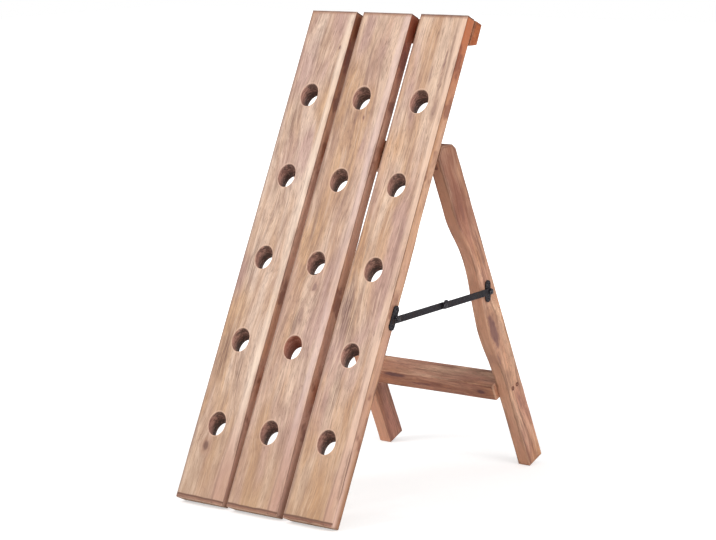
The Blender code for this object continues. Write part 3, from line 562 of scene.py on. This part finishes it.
def board_material(name, place, sizes, side_shade_tone, worn_and_lit_bevel_tone, knots, stains, end_face, top_stain=(150, 92, 62),
                   orange_hole=0.0, **tones):
    """A board's wood: its figure, then bevels, rubbed arrises and the holes' walls laid over it."""
    material, tree, shader, spot, figure, colour = start_timber(name, place, sizes["Seed"], knots, **tones)
    found = use_group(tree, board_places, {"Vector": spot, **{name: float(sizes[name]) for name in BOARD_SIZES}})
    outer = 1.0 - found["Wall"]
    up = parts(spot)[1]
    low = step_up(up, FOOT_ZONE, 0.0)
    rub = use_group(tree, worn, {"Vector": spot, "Gap": found["Gap"], "Width": 0.0022, "Seed": sizes["Seed"]})

    # the dark streaky stains on its face
    colour = laid(colour, (low * 0.42, (180, 142, 106)))
    runs = step_up(mottle(spot, (480, 13, 480), 3, 0.65), 0.42, 0.58)
    ragged = mottle(spot, (70, 22, 70), 2)
    for across, along, radius, stretch, strength in stains:
        away = (spot - (across, along, 0)) * (1 / radius, 1 / radius / stretch, 0)
        mark = step_up(vectors("LENGTH", away) + ragged, 1.7, 0.6) * (runs * 0.85 + 0.15)
        colour = laid(colour, (mark * (strength * 1.4), (110, 78, 66)))

    # the holes' walls: pale near the face and near-black deeper in, which is painted shade; ringed by the drill,
    # torn in places, and darker on the upper right from burnt patches and painted shade
    # painted shade: the wall goes from pale at the face to near-black at the back
    bored_wall_and_shade = blended(step_up(found["Depth"], 0.28, 0.72), tint(198, 146, 130), tint(34, 20, 20))
    rings = step_up(mottle(spot, (70, 70, 620), 3, 0.6), 0.40, 0.62)
    # burnt patches, kept to the upper right side of each hole, where they also paint its shade
    burn_patches_and_shade = step_up(mottle(spot, (110, 110, 140), 3, 0.6), 0.46, 0.60) * step_up(found["Turn"], -0.9, 0.2)
    rough = (mottle(spot, (120, 120, 300), 4, 0.65) - 0.5) * 3.4
    # painted shade on the upper right wall near the face
    shaded = step_up(found["Turn"] + rough, -0.35, 0.55) * step_up(found["Depth"], 0.85, 0.2)
    torn = step_up(mottle(spot + (2, 2, 2), (240, 240, 420), 3, 0.6), 0.52, 0.66)
    bored_wall_and_shade = laid(bored_wall_and_shade, (rings * 0.7, (96, 54, 44)), (larger(burn_patches_and_shade, shaded) * 0.92, (58, 34, 28)),
                 (torn * 0.4, (206, 158, 140)))
    if orange_hole:
        off = maths("ABSOLUTE", up - orange_hole)
        bored_wall_and_shade = laid(bored_wall_and_shade, (step_up(off, 0.04, 0.03) * 0.45, (160, 72, 34)))

    # its side faces, with painted shade over them and painted light near the face at the foot; bevels, the right
    # one with painted light over its worn wood; ends, arrises and holes
    side = faces_along(tree, place, (1, 0, 0), 0.7, 0.95) * outer
    band = side * step_up(found["Gap"], 0.002, 0.006) * mottle(spot, (90, 10, 90), 3) * (0.65 - low * 0.5)
    # painted light: the side faces paler near the front face, at the foot
    lit_near_face = step_up(found["Depth"], 0.85, 0.25) * (side * low)
    spots = side * step_up(mottle(spot, (24, 16, 24), 3, 0.6), 0.56, 0.66)
    # painted shade: the side faces darker along their arrises, in patches
    side_arris_shade = side * step_up(found["Gap"], 0.0026, 0.0008) * step_up(mottle(spot, (14, 12, 14), 3), 0.30, 0.55)
    patchy = mottle(spot, (60, 9, 60), 3) * 0.9 + 0.1
    broken = step_up(mottle(spot, (9, 16, 9), 2), 0.42, 0.62)
    colour = laid(
        # painted shade: the side faces multiplied darker, with some stain, and darker still in the gaps at the foot
        colour, (side, side_shade_tone, "MULTIPLY"), (side * low, (226, 216, 212), "MULTIPLY"),
        # the side faces' pale band, then painted light near the front face at the foot
        (band, (228, 180, 154)), (lit_near_face * 0.8, (248, 208, 190)),
        (side * step_up(up, 0.58, 0.77) * 0.85, top_stain),
        # dark spots on the side faces, then painted shade along their arrises
        (spots * 0.6, (110, 52, 42)), (side_arris_shade * 0.7, (88, 54, 42)),
        (found["Left"] * 0.50, (144, 116, 106)),
        # the right bevel paler: painted light, over its worn wood, pinker at the foot
        (found["Right"] * (1.0 - low * 0.25) * patchy, blended(low, tint(*worn_and_lit_bevel_tone), tint(218, 172, 158))),
        (found["End"] * 0.60, end_face),
        (found["End"] * step_up(up, 0.010, 0.004) * 0.45, (136, 88, 74)),
        (step_up(up, BOARD_LENGTH - 0.0036, BOARD_LENGTH - 0.0020) * 0.7, (96, 76, 68)),
        (rub["Dirt"] * 0.5, (116, 82, 70)),
        (rub["Worn"] * (outer * (1.0 - side)) * 0.45, (228, 190, 164)),
        (found["Line"] * larger(broken, low * 1.6) * 0.30, (122, 88, 72)),
        (found["Rim"] * 0.45, (232, 194, 170)), (found["Wall"] * 0.9, bored_wall_and_shade))
    end_timber(shader, figure, colour, rub["Dirt"])
    return material


drilled_board = board_tree()
RIGHT_BOARD_SWELL = 0.0013
# side, middle and width, how far the holes lie to one side, right and left bevel, how much wider and deeper
# the right one gets at the foot, painted shade over the side faces, painted light over the right bevel's worn
# wood, seed, then knots and stains (across, along, radius, stretch, strength) and tones of its own
BOARDS = (
    ("left", -0.107, 0.0895, -0.0016, 0.0085, 0.0055, 0.0085, 0.0055, (250, 234, 228), (246, 224, 204), 3.17,
     ((-0.0117, 0.0842, 0.0062, 1.4, 1.0), (0.0335, 0.7270, 0.0020, 1.8, 0.8)),
     ((-0.0117, 0.0842, 0.0062, 1.4, 0.5), (-0.019, 0.612, 0.008, 5.0, 0.55), (-0.020, 0.372, 0.010, 5.0, 0.55),
      (-0.026, 0.225, 0.012, 5.0, 0.6), (0.012, 0.205, 0.008, 5.0, 0.4), (-0.016, 0.500, 0.006, 5.0, 0.4),
      (-0.010, 0.735, 0.010, 5.0, 0.3)),
     {"end_face": (178, 132, 110)}),
    ("middle", -0.00175, 0.0950, -0.0027, 0.0095, 0.0050, 0.004, 0.0045, (250, 236, 232), (226, 198, 188), 7.41,
     ((0.0078, 0.3466, 0.0045, 1.7, 0.6), (0.0117, 0.6168, 0.0022, 1.5, 0.5), (-0.0030, 0.2980, 0.0040, 5.0, 0.4)),
     ((-0.012, 0.288, 0.008, 4.0, 0.5), (0.016, 0.330, 0.006, 6.0, 0.4), (-0.026, 0.450, 0.006, 8.0, 0.35)),
     {"orange_hole": LOWEST_HOLE + HOLE_PITCH, "top_stain": (150, 74, 46), "end_face": (170, 122, 100),
      "body": (210, 170, 142), "pale": (232, 200, 176)}),
    ("right", 0.107, 0.0895, -0.0011, 0.0075, 0.0050, 0.005, 0.0035, (244, 226, 208), (236, 204, 182), 11.83,
     ((0.0286, 0.6712, 0.0030, 7.0, 0.4), (-0.0331, 0.3238, 0.0060, 3.0, 0.4), (0.0275, 0.7156, 0.0016, 12.0, 0.6),
      (0.0072, 0.6908, 0.0016, 10.0, 0.5), (0.0300, 0.6318, 0.0040, 4.0, 0.35)),
     ((-0.030, 0.315, 0.012, 5.0, 0.65), (-0.012, 0.290, 0.012, 4.0, 0.55), (-0.010, 0.195, 0.011, 5.0, 0.5),
      (-0.026, 0.420, 0.008, 6.0, 0.4)),
     {"top_stain": (180, 96, 52), "end_face": (140, 88, 72), "body": (214, 172, 138), "pale": (236, 204, 178),
      "olive": (206, 152, 102)}),
)
for (side, middle, width, shift, right, left, spread, foot_drop, side_shade_tone, worn_and_lit_bevel_tone, seed,
     knots, stains, tones) in BOARDS:
    place = board_frame @ Matrix.Translation((middle, 0, 0))
    sizes = {**BOARD_SIZES, "Width": width, "Hole Shift": shift, "Right Bevel": right, "Left Bevel": left,
             "Foot Spread": spread, "Foot Drop": foot_drop, "Seed": seed}
    wood = board_material("board wood " + side, place, sizes, side_shade_tone, worn_and_lit_bevel_tone, knots, stains, **tones)
    swell = RIGHT_BOARD_SWELL if side == "right" else 0.0
    board = grown("neck_board_" + side, drilled_board, {**sizes, "Left Swell": swell, "Wood": wood}, place)
    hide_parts("board_" + side)
    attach(board, "rack")


# The cross pieces. Strips of the same acacia, stained darker and screwed on from behind: the cleat over the
# boards' top ends, its underside cut level, and two rails that stop just inside the legs.
HALF_WIDTH = 0.15175
BEHIND = -BOARD_THICKNESS - 0.0003
CLEAT_HEIGHT = 0.041
CLEAT_THICKNESS = 0.017
RAIL_THICKNESS = 0.018
RAIL_HALF_LENGTH = 0.12825
RAILS = (("hinge_rail", 0.568, 0.046), ("lower_rail", 0.193, 0.040))
CORNER_STEPS = 3                # an arris is rounded in this many steps
CLOSE, NEXT = 0.0025, 0.006     # edge loops at these distances from an arris
SHORT_EDGE = 0.016
RUB_PATCHES, BOW_PATCHES, BOW = 34.0, 16.0, 0.0004
FOLD = math.radians(34)         # edges sharper than this stay sharp


def walk_round(outline, radius, inset, spacing):
    """Points round an outline with arcs at its corners: place, way out, place further in, gap to a corner."""
    corners = [Vector(point) for point in outline]
    turned = sum(p.x * q.y - q.x * p.y for p, q in zip(corners, corners[1:] + corners[:1]))
    if turned < 0:
        corners.reverse()
    edges = [q - p for p, q in zip(corners, corners[1:] + corners[:1])]
    outs = [Vector((e.y, -e.x)).normalized() for e in edges]
    mitres = [(outs[i - 1] + outs[i]) / (1 + outs[i - 1].dot(outs[i])) for i in range(len(corners))]
    sharp = [outs[i - 1].angle(outs[i]) > math.radians(20) for i in range(len(corners))]
    inner = [p - m * inset for p, m in zip(corners, mitres)]
    found = []
    for i, corner in enumerate(corners):
        if sharp[i]:
            for k in range(CORNER_STEPS + 1):
                out = outs[i - 1].lerp(outs[i], k / CORNER_STEPS).normalized()
                found.append((corner - mitres[i] * radius + out * radius, out, inner[i]))
        else:
            found.append((corner, mitres[i].normalized(), inner[i]))
        after = (i + 1) % len(corners)
        length = edges[i].length
        stops = [CLOSE, NEXT] if sharp[i] else []
        ends = [length - s for s in ([NEXT, CLOSE] if sharp[after] else [])]
        low = stops[-1] if stops else 0.0
        high = ends[0] if ends else length
        count = int((high - low) / spacing)
        stops += [low + (high - low) * (k + 1) / (count + 1) for k in range(count)] + ends
        if length < SHORT_EDGE:
            stops = [length / 2]
        for s in stops:
            share = s / length
            found.append((corner + edges[i] * share, outs[i], inner[i].lerp(inner[after], share)))
    marks = [p for p, hard in zip(corners, sharp) if hard]
    return [(place, out, deep, min((place - m).length for m in marks)) for place, out, deep in found]


def from_shape(name, shape, place, *materials):
    """A piece from a worked shape, smooth but for its folds; the last step of timbers and ironwork."""
    bmesh.ops.recalc_face_normals(shape, faces=shape.faces)
    mesh = bpy.data.meshes.new(name)
    shape.to_mesh(mesh)
    shape.free()
    mesh.transform(place)
    mesh.shade_smooth()
    mesh.set_sharp_from_angle(angle=FOLD)
    for material in materials:
        mesh.materials.append(material)
    return add_object(name, mesh)


def worn_timber(name, outline, low, high, frame_place, wood, seed, spacing=0.008, rub=0.0018, inset=0.005):
    """A timber sawn to an outline, its arrises rubbed unevenly round and its faces a little out of true."""
    shape = bmesh.new()
    gap_layer = shape.verts.layers.float.new("gap")
    known = {}

    def corner(u, spot, gap):
        key = (round(u, 6), round(spot.x, 6), round(spot.y, 6))
        if key not in known:
            known[key] = shape.verts.new((u, spot.x, spot.y))
            known[key][gap_layer] = gap
        return known[key]

    def panel(corners):
        unique = [c for i, c in enumerate(corners) if c is not corners[i - 1]]
        if len(unique) > 2:
            shape.faces.new(unique)

    rings = []
    width = high - low
    count = max(2, int((width - 0.012) / spacing))
    across = [CLOSE, NEXT] + [NEXT + (width - 0.012) * (k + 1) / (count + 1) for k in range(count)]
    across += [width - NEXT, width - CLOSE]
    for place, out, deep, gap in walk_round(outline, rub, inset, spacing):
        def noisy(u, scale, shift):
            return noise.noise(Vector((u + shift, place.x, place.y + seed)) * scale)
        line = []
        for end, way in ((low, 1), (high, -1)):
            radius = rub * min(0.95, max(0.3, 0.65 + 0.7 * noisy(end, RUB_PATCHES, 3.0)))
            bow = noisy(end, BOW_PATCHES, 7.0) * BOW
            row = [corner(end, deep, inset)]
            for k in range(CORNER_STEPS + 1):
                turn = math.pi / 2 * k / CORNER_STEPS
                drawn = radius * (1 - math.sin(turn)) - bow * k / CORNER_STEPS
                row.append(corner(end + way * radius * (1 - math.cos(turn)), place - out * drawn, radius * 0.3))
            line.append(row)
        middle = []
        for u in across:
            bow = noisy(low + u, BOW_PATCHES, 7.0) * BOW
            middle.append(corner(low + u, place + out * bow, min(u, width - u, gap)))
        rings.append(line[0] + middle + line[1][::-1])
    for ring, following in zip(rings, rings[1:] + rings[:1]):
        for i in range(len(ring) - 1):
            panel((ring[i], following[i], following[i + 1], ring[i + 1]))
    panel([ring[0] for ring in rings])
    panel([ring[-1] for ring in rings])
    return from_shape(name, shape, frame_place, wood)


FRAME_TONES = {"body": (228, 174, 140), "pale": (244, 200, 168), "blush": (206, 142, 122),
               "olive": (216, 156, 106), "dark": (108, 66, 54), "end_tone": (170, 116, 90)}


def frame_wood(name, place, seed, knots=(), rubbed=0.35, stained_from=None, front=None, **tones):
    """The frame's darker wood; how far a point lies from an arris comes with the mesh."""
    material, tree, shader, spot, figure, colour = start_timber(
        name, place, seed, knots, 1.6, **{**FRAME_TONES, **tones})
    if stained_from is not None:
        stain = step_up(parts(spot)[1], stained_from - 0.06, stained_from + 0.04)
        patches = mottle(spot, (60, 14, 60), 3) + 0.15
        colour = laid(colour, (stain * patches, (128, 74, 56)))
    # front paints one face: painted light on the legs' wavy front edges, which the boards shade, and painted shade
    # on the stretcher's front below its lit top
    if front is not None:
        axis, share, tone, way = front
        facing = faces_along(tree, place, axis, 0.6, 0.9)
        colour = laid(colour, (facing * share, tone, way))
    gap = made(tree, "ShaderNodeAttribute", output="Fac", attribute_name="gap")
    rub = use_group(tree, worn, {"Vector": spot, "Gap": gap, "Width": 0.0024, "Seed": seed})
    colour = laid(colour, (rub["Dirt"] * 0.5, (96, 62, 50)), (rub["Worn"] * rubbed, (222, 180, 152)))
    end_timber(shader, figure, colour, rub["Dirt"])
    return material


lengthways = board_frame @ Matrix.Rotation(-math.pi / 2, 4, "Z")
slope = CLEAT_THICKNESS * math.tan(BOARD_LEAN)
foot = BOARD_LENGTH - CLEAT_HEIGHT
cleat = worn_timber(
    "screwed_top_cleat",
    ((foot, BEHIND), (BOARD_LENGTH, BEHIND), (BOARD_LENGTH, BEHIND - CLEAT_THICKNESS),
     (foot + slope, BEHIND - CLEAT_THICKNESS)),
    -HALF_WIDTH, HALF_WIDTH, board_frame,
    frame_wood("cleat wood", lengthways, 21.3, body=(196, 124, 84), pale=(210, 142, 100),
               blush=(180, 100, 72), olive=(188, 118, 70), dark=(84, 42, 30), end_tone=(168, 84, 40), rubbed=0.05),
    2.0)
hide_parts("top_cleat")
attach(cleat, "rack")
for i, (node, middle, height) in enumerate(RAILS):
    low, high, back = middle - height / 2, middle + height / 2, BEHIND - RAIL_THICKNESS
    rail = worn_timber("screwed_" + node, ((low, BEHIND), (high, BEHIND), (high, back), (low, back)),
                       -RAIL_HALF_LENGTH, RAIL_HALF_LENGTH, board_frame,
                       frame_wood(node.replace("_", " ") + " wood", lengthways, 30.7 + 6 * i), 5.0 + i)
    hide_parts(node)
    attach(rail, "rack")


# The rear legs. Flat acacia with a straight back edge and a front edge sawn in long waves; the top is
# bevelled to lie against the boards' back while the rack stands open.
OPENING = math.radians(48.65)
LEG_SPLAY = OPENING - BOARD_LEAN
LEG_THICKNESS = 0.022
LEG_DEPTH = 0.043
LEG_FRONT = -0.0033
LEG_BACK = LEG_FRONT - LEG_DEPTH
LEG_REACH = 0.55232
LEG_TOP_RISE = 0.0255
LEG_WAVES = ((0.170, 1.0), (0.328, 0.715), (0.5525, 1.0), (0.7065, 0.82))
PIN_PLACE = (0.0, 0.5617, BEHIND - 0.003)
leg_frame = board_frame @ Matrix.Translation(PIN_PLACE) @ Matrix.Rotation(OPENING, 4, "X")


def leg_front_at(down):
    """The front edge at a distance down from the hinge."""
    places = [(share * LEG_REACH, LEG_BACK + depth * LEG_DEPTH) for share, depth in LEG_WAVES]
    for (start, shallow), (stop, deep) in zip(places, places[1:]):
        if start <= down <= stop:
            way = (down - start) / (stop - start)
            return shallow + (deep - shallow) * way * way * (3 - 2 * way)
    return places[0][1] if down < places[0][0] else places[-1][1]


def leg_side_view():
    """The leg's outline: its bevelled top, straight back, square foot and waved front."""
    seat = 0.003
    climb = (LEG_TOP_RISE - seat * math.sin(BOARD_LEAN)) / math.cos(BOARD_LEAN)
    top = (climb * math.cos(OPENING) + seat * math.sin(OPENING),
           seat * math.cos(OPENING) - climb * math.sin(OPENING))
    run = (top[1] - LEG_BACK) / math.cos(LEG_SPLAY) - 0.006
    back = top[0] - run * math.sin(LEG_SPLAY)
    view = [((seat - LEG_FRONT * math.cos(OPENING)) / math.sin(OPENING), LEG_FRONT), top,
            (back, top[1] - run * math.cos(LEG_SPLAY)), (back - 0.010, LEG_BACK), (-LEG_REACH, LEG_BACK)]
    first, last = LEG_WAVES[0][0] * LEG_REACH, LEG_WAVES[-1][0] * LEG_REACH
    view.append((-LEG_REACH, leg_front_at(LEG_REACH)))
    for i in range(46):
        down = last + (first - last) * i / 45
        view.append((-down, leg_front_at(down)))
    return view


edgeways = leg_frame @ Matrix.Rotation(-math.pi / 2, 4, "Y")
# knots: place through the leg's depth, place up it, radius, stretch, strength
LEG_KNOTS = {"right": ((-0.0160, -0.3030, 0.0105, 3.2, 0.85), (-0.0120, -0.3520, 0.0022, 6.0, 0.5),
                       (-0.0200, -0.0950, 0.0045, 5.0, 0.5), (-0.0300, -0.4400, 0.0030, 6.0, 0.4)),
             "left": ((-0.0240, -0.1900, 0.0040, 2.5, 0.8),)}
# the left leg's tones darker than the right's: painted shade on the far leg
LEG_TONES_WITH_SHADE = {"right": {}, "left": {"body": (200, 142, 116), "pale": (220, 166, 138), "blush": (184, 120, 104),
                                   "olive": (190, 128, 90)}}
for side, way in (("left", -1), ("right", 1)):
    low, high = sorted((way * HALF_WIDTH, way * (HALF_WIDTH - LEG_THICKNESS)))
    wood = frame_wood("leg wood " + side, edgeways, 44.0 + 9 * way, LEG_KNOTS[side], 0.15, stained_from=-0.12,
                      # painted light: the wavy front edge paler, where the boards shade it
                      front=((1, 0, 0), 0.45, (240, 180, 146), "MIX"), **LEG_TONES_WITH_SHADE[side])
    leg = worn_timber("waved_leg_" + side, leg_side_view(), low, high, leg_frame, wood, 9.0 + way, spacing=0.009,
                      rub=0.0016)
    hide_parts("leg_" + side)
    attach(leg, "leg_frame")


# The stretcher. A narrow board laid square between the legs, proud of their front edges, and held by two
# screws through each leg.
STRETCHER_TOP = -0.399
STRETCHER_HEIGHT = 0.027
STRETCHER_DEPTH = 0.042
STRETCHER_HALF_LENGTH = 0.12945
front = leg_front_at(-STRETCHER_TOP) + 0.0087
low, back = STRETCHER_TOP - STRETCHER_HEIGHT, front - STRETCHER_DEPTH
wood = frame_wood("stretcher wood", leg_frame @ Matrix.Rotation(-math.pi / 2, 4, "Z"), 71.9,
                  ((0.404, -0.066, 0.0045, 6.0, 0.9), (0.414, -0.015, 0.0030, 9.0, 0.6),
                   (0.413, 0.103, 0.0040, 2.5, 0.9)),
                  # painted shade: the stretcher's front darker than its top
                  0.4, front=((0, 0, 1), 0.8, (214, 190, 184), "MULTIPLY"),
                  body=(214, 160, 134), dark=(108, 62, 52))
stretcher = worn_timber("leg_cross_bar", ((low, back), (STRETCHER_TOP, back), (STRETCHER_TOP, front), (low, front)),
                        -STRETCHER_HALF_LENGTH, STRETCHER_HALF_LENGTH, leg_frame, wood, 13.0, rub=0.0022)
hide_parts("leg_stretcher")
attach(stretcher, "leg_frame")


# The ironwork. Two butt hinges behind the boards, and on each side a folding stay of two flat arms between
# a plate on the board and a plate on the leg; stamped from sheet, the stays blackened, the hinges rusted.
def iron_group():
    """Blackened iron: uneven black, a brown bloom in places, and scratches that catch the light."""
    group, given, result = new_group("blackened iron", "Shader", {
        "Vector": (0.0, 0.0, 0.0), "Seed": 0.0, "Rubbed": 0.0, "Black": (0.006, 0.0045, 0.007, 1.0),
        "Worn Black": (0.012, 0.0085, 0.013, 1.0),
        "Bloom": (0.040, 0.024, 0.018, 1.0), "Bare": (0.26, 0.25, 0.27, 1.0)},
        {"Color": "Color", "Roughness": "Float", "Height": "Float"})
    moved = given["Vector"] + joined(*[given["Seed"]] * 3)
    cloud = mottle(moved, (90, 90, 90), 3, 0.6)
    fine = mottle(moved, (900, 900, 900), 3, 0.6)
    bloom = step_up(mottle(moved + (4, 4, 4), (140, 140, 140), 3), 0.54, 0.72)
    colour = blended(step_up(cloud, 0.3, 0.7), given["Black"], given["Worn Black"])
    colour = laid(colour, (bloom * 0.7, given["Bloom"]),
                  (step_up(fine, 0.42, 0.62) * given["Rubbed"], given["Bare"]))
    link(colour, result["Color"])
    link(cloud * 0.22 + 0.36 + bloom * 0.18, result["Roughness"])
    link(fine + cloud * 1.5, result["Height"])
    return group


blackened = iron_group()


def iron(name, seed, rubbed, **tones):
    """An iron part's material; a screw or hinge that has rusted takes tones of its own."""
    material, tree, shader = new_material(name, (0.03, 0.03, 0.033, 1), Metallic=0.3, Roughness=0.5)
    shader.inputs["Specular IOR Level"].default_value = 0.12
    spot = made(tree, "ShaderNodeTexCoord", output="Object")
    found = use_group(tree, blackened, {"Vector": spot, "Seed": seed, "Rubbed": rubbed, **named(tones)})
    end_shader(shader, found["Color"], found["Roughness"], found["Height"], 0.5, 0.0003)
    return material


# the edge material, on the eased edges: worn bare iron, brightened as a painted highlight
iron_face, iron_edge_wear_and_highlight = iron("blackened iron", 1.0, 0.12), iron("blackened iron edge wear and highlight", 1.0, 0.9)
rusted = iron("rusted iron", 3.0, 0.1, black=(112, 72, 58), worn_black=(134, 88, 70), bloom=(156, 104, 80))
IRONWORK = (("hinge_board_leaf_", "hinged_board_leaf_", "rack"), ("hinge_pin_", "hinge_pivot_", "rack"),
            ("hinge_leg_leaf_", "hinged_leg_leaf_", "leg_frame"),
            ("stay_board_plate_", "stamped_board_plate_", "rack"),
            ("stay_leg_plate_", "stamped_leg_plate_", "leg_frame"),
            ("stay_front_arm_", "flat_front_arm_", "stay_front_arm_"),
            ("stay_rear_arm_", "flat_rear_arm_", "stay_rear_arm_"))
for side in ("left", "right"):
    for node, name, body in IRONWORK:
        shape = bmesh.new()
        shape.from_mesh(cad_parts[node + side].data)
        bmesh.ops.remove_doubles(shape, verts=shape.verts, dist=0.00001)
        bmesh.ops.dissolve_limit(shape, angle_limit=math.radians(1), verts=shape.verts, edges=shape.edges)
        metals = (rusted, rusted) if "hinge" in name else (iron_face, iron_edge_wear_and_highlight)
        piece = from_shape(name + side, shape, Matrix(), *metals)
        eased = piece.modifiers.new("eased edges", "BEVEL")
        eased.width = 0.00035
        eased.segments = 2
        eased.limit_method = "ANGLE"
        eased.angle_limit = math.radians(40)
        # the eased edges take the worn edge material with its painted highlight
        eased.material = 1
        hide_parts(node + side)
        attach(piece, body + side if body.endswith("_") else body)


# The screws and rivets. Cross-headed wood screws in the cleat, rails, stretcher and plates, those in the
# plates sunk a little for the arms to pass over them, and domed rivets at the stays' three joints.
def fastener_tree(recessed):
    """A head on every point of a mesh, turned and sized by the point's own values."""
    name = "cross-headed screws" if recessed else "domed rivets"
    tree, given, result = new_group(name, "Geometry", {
        "Points": "Geometry", "Head Radius": 0.0036, "Head Height": 0.0012, "Dome": 0.0004,
        "Shank Radius": 0.0018, "Shank Length": 0.012, "Recess Width": 0.0009, "Recess Depth": 0.0009,
        "Metal": "Material"}, {"Fasteners": "Geometry"})
    tall = given["Head Height"]
    head = made(tree, "GeometryNodeMeshCylinder", {
        "Vertices": 24, "Fill Segments": 4, "Radius": given["Head Radius"], "Depth": tall}, output="Mesh",
        fill_type="TRIANGLE_FAN")
    where = made(tree, "GeometryNodeInputPosition")
    x, y, z = parts(where)
    out = vectors("LENGTH", joined(x, y, 0.0)) / given["Head Radius"]
    crown = (1.0 - out * out) * given["Dome"] * maths("GREATER_THAN", z, 0.0)
    head = set_points(head, {"Offset": joined(0.0, 0.0, crown - tall * 0.5)})
    if recessed:
        wide = given["Head Radius"] * 1.15
        deep = (given["Recess Depth"] + given["Dome"]) * 2.0
        for size in (joined(wide, given["Recess Width"], deep), joined(given["Recess Width"], wide, deep)):
            bar = made(tree, "GeometryNodeMeshCube", {"Size": size})
            head = cut(head, shifted(bar, joined(0.0, 0.0, given["Dome"])))
    shank = made(tree, "GeometryNodeMeshCylinder", {
        "Vertices": 12, "Radius": given["Shank Radius"], "Depth": given["Shank Length"]}, output="Mesh")
    shank = shifted(shank, joined(0.0, 0.0, given["Shank Length"] * -0.5 - tall * 0.9))
    whole = add_node(tree, "GeometryNodeJoinGeometry")
    link(head, whole.inputs[0])
    link(shank, whole.inputs[0])
    turn = made(tree, "GeometryNodeInputNamedAttribute", {"Name": "turned"}, data_type="FLOAT_VECTOR")
    grow = made(tree, "GeometryNodeInputNamedAttribute", {"Name": "grown"}, data_type="FLOAT")
    placed = made(tree, "GeometryNodeInstanceOnPoints", {
        "Points": given["Points"], "Instance": Wire(whole.outputs[0]), "Rotation": turn, "Scale": grow})
    link(finish_tree(tree, placed, given["Metal"], math.radians(30)), result["Fasteners"])
    return tree


PLATE_SCREW_SINK = 0.0004


def seat_mesh(name, seats, head_radius, proud):
    """A point for each fastener at its head's rim, read off its node; those in the plates are sunk."""
    mesh = bpy.data.meshes.new(name + "_seats")
    spots, turns, sizes = [], [], []
    for i, (node, out) in enumerate(seats):
        upright = Vector(out).to_track_quat("Z", "Y").to_matrix()
        points = [upright.transposed() @ v.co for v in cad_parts[node].data.vertices]
        low = [min(p[k] for p in points) for k in range(3)]
        high = [max(p[k] for p in points) for k in range(3)]
        top = high[2] + (-PLATE_SCREW_SINK if "plate_screw" in node else proud)
        spots.append(upright @ Vector(((low[0] + high[0]) / 2, (low[1] + high[1]) / 2, top)))
        sizes.append((high[0] - low[0]) / 2 / head_radius)
        turns.extend((upright @ Matrix.Rotation(0.5 + i * 2.4, 3, "Z")).to_euler())
    mesh.from_pydata(spots, [], [])
    mesh.attributes.new("turned", "FLOAT_VECTOR", "POINT").data.foreach_set("vector", turns)
    mesh.attributes.new("grown", "FLOAT", "POINT").data.foreach_set("value", sizes)
    return mesh


screw_tree, rivet_tree = fastener_tree(True), fastener_tree(False)
behind_boards = tuple(-(board_frame.to_3x3() @ Vector((0, 0, 1))))
OUT = {"left": (-1, 0, 0), "right": (1, 0, 0)}


def on_sides(stem, *ends):
    """The nodes of one kind on the left and the right, each with the way that it faces."""
    return [(stem + side + end, OUT[side]) for side in OUT for end in ends or ("",)]


rack_screws = [(name.format(board), behind_boards) for board in ("left", "middle", "right") for name in (
    "top_cleat_screw_{}", "lower_rail_screw_{}", "hinge_rail_screw_{}_upper", "hinge_rail_screw_{}_lower")]
SETS = [("rack_screws", "rack", True, rack_screws),
        ("leg_screws", "leg_frame", True, on_sides("stretcher_screw_", "_front", "_back")),
        ("board_plate_screws", "rack", True, on_sides("stay_board_plate_screw_", "_upper", "_lower")),
        ("leg_plate_screws", "leg_frame", True, on_sides("stay_leg_plate_screw_", "_upper", "_lower")),
        ("rack_rivets", "rack", False, on_sides("stay_board_rivet_")),
        ("leg_rivets", "leg_frame", False, on_sides("stay_leg_rivet_"))]
for seat in on_sides("stay_middle_rivet_"):
    side = seat[0].split("_")[-1]
    SETS.append(("middle_rivet_" + side, "stay_rear_arm_" + side, False, [seat]))
for name, body, recessed, seats in SETS:
    head_radius = 0.0036 if recessed else 0.0045
    plain = name not in ("rack_screws", "leg_screws")
    metal = iron("iron of " + name.replace("_", " "), 5.0, 0.4) if plain else rusted
    sizes = {"Head Radius": head_radius, "Metal": metal}
    if not recessed:
        sizes.update({"Head Height": 0.0006, "Dome": 0.0013, "Shank Radius": 0.0024, "Shank Length": 0.004})
    start = seat_mesh(name, seats, head_radius, 0.0005 if recessed else 0.0)
    piece = grown(name, screw_tree if recessed else rivet_tree, sizes, Matrix(), start)
    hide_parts(*[node for node, out in seats])
    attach(piece, body)
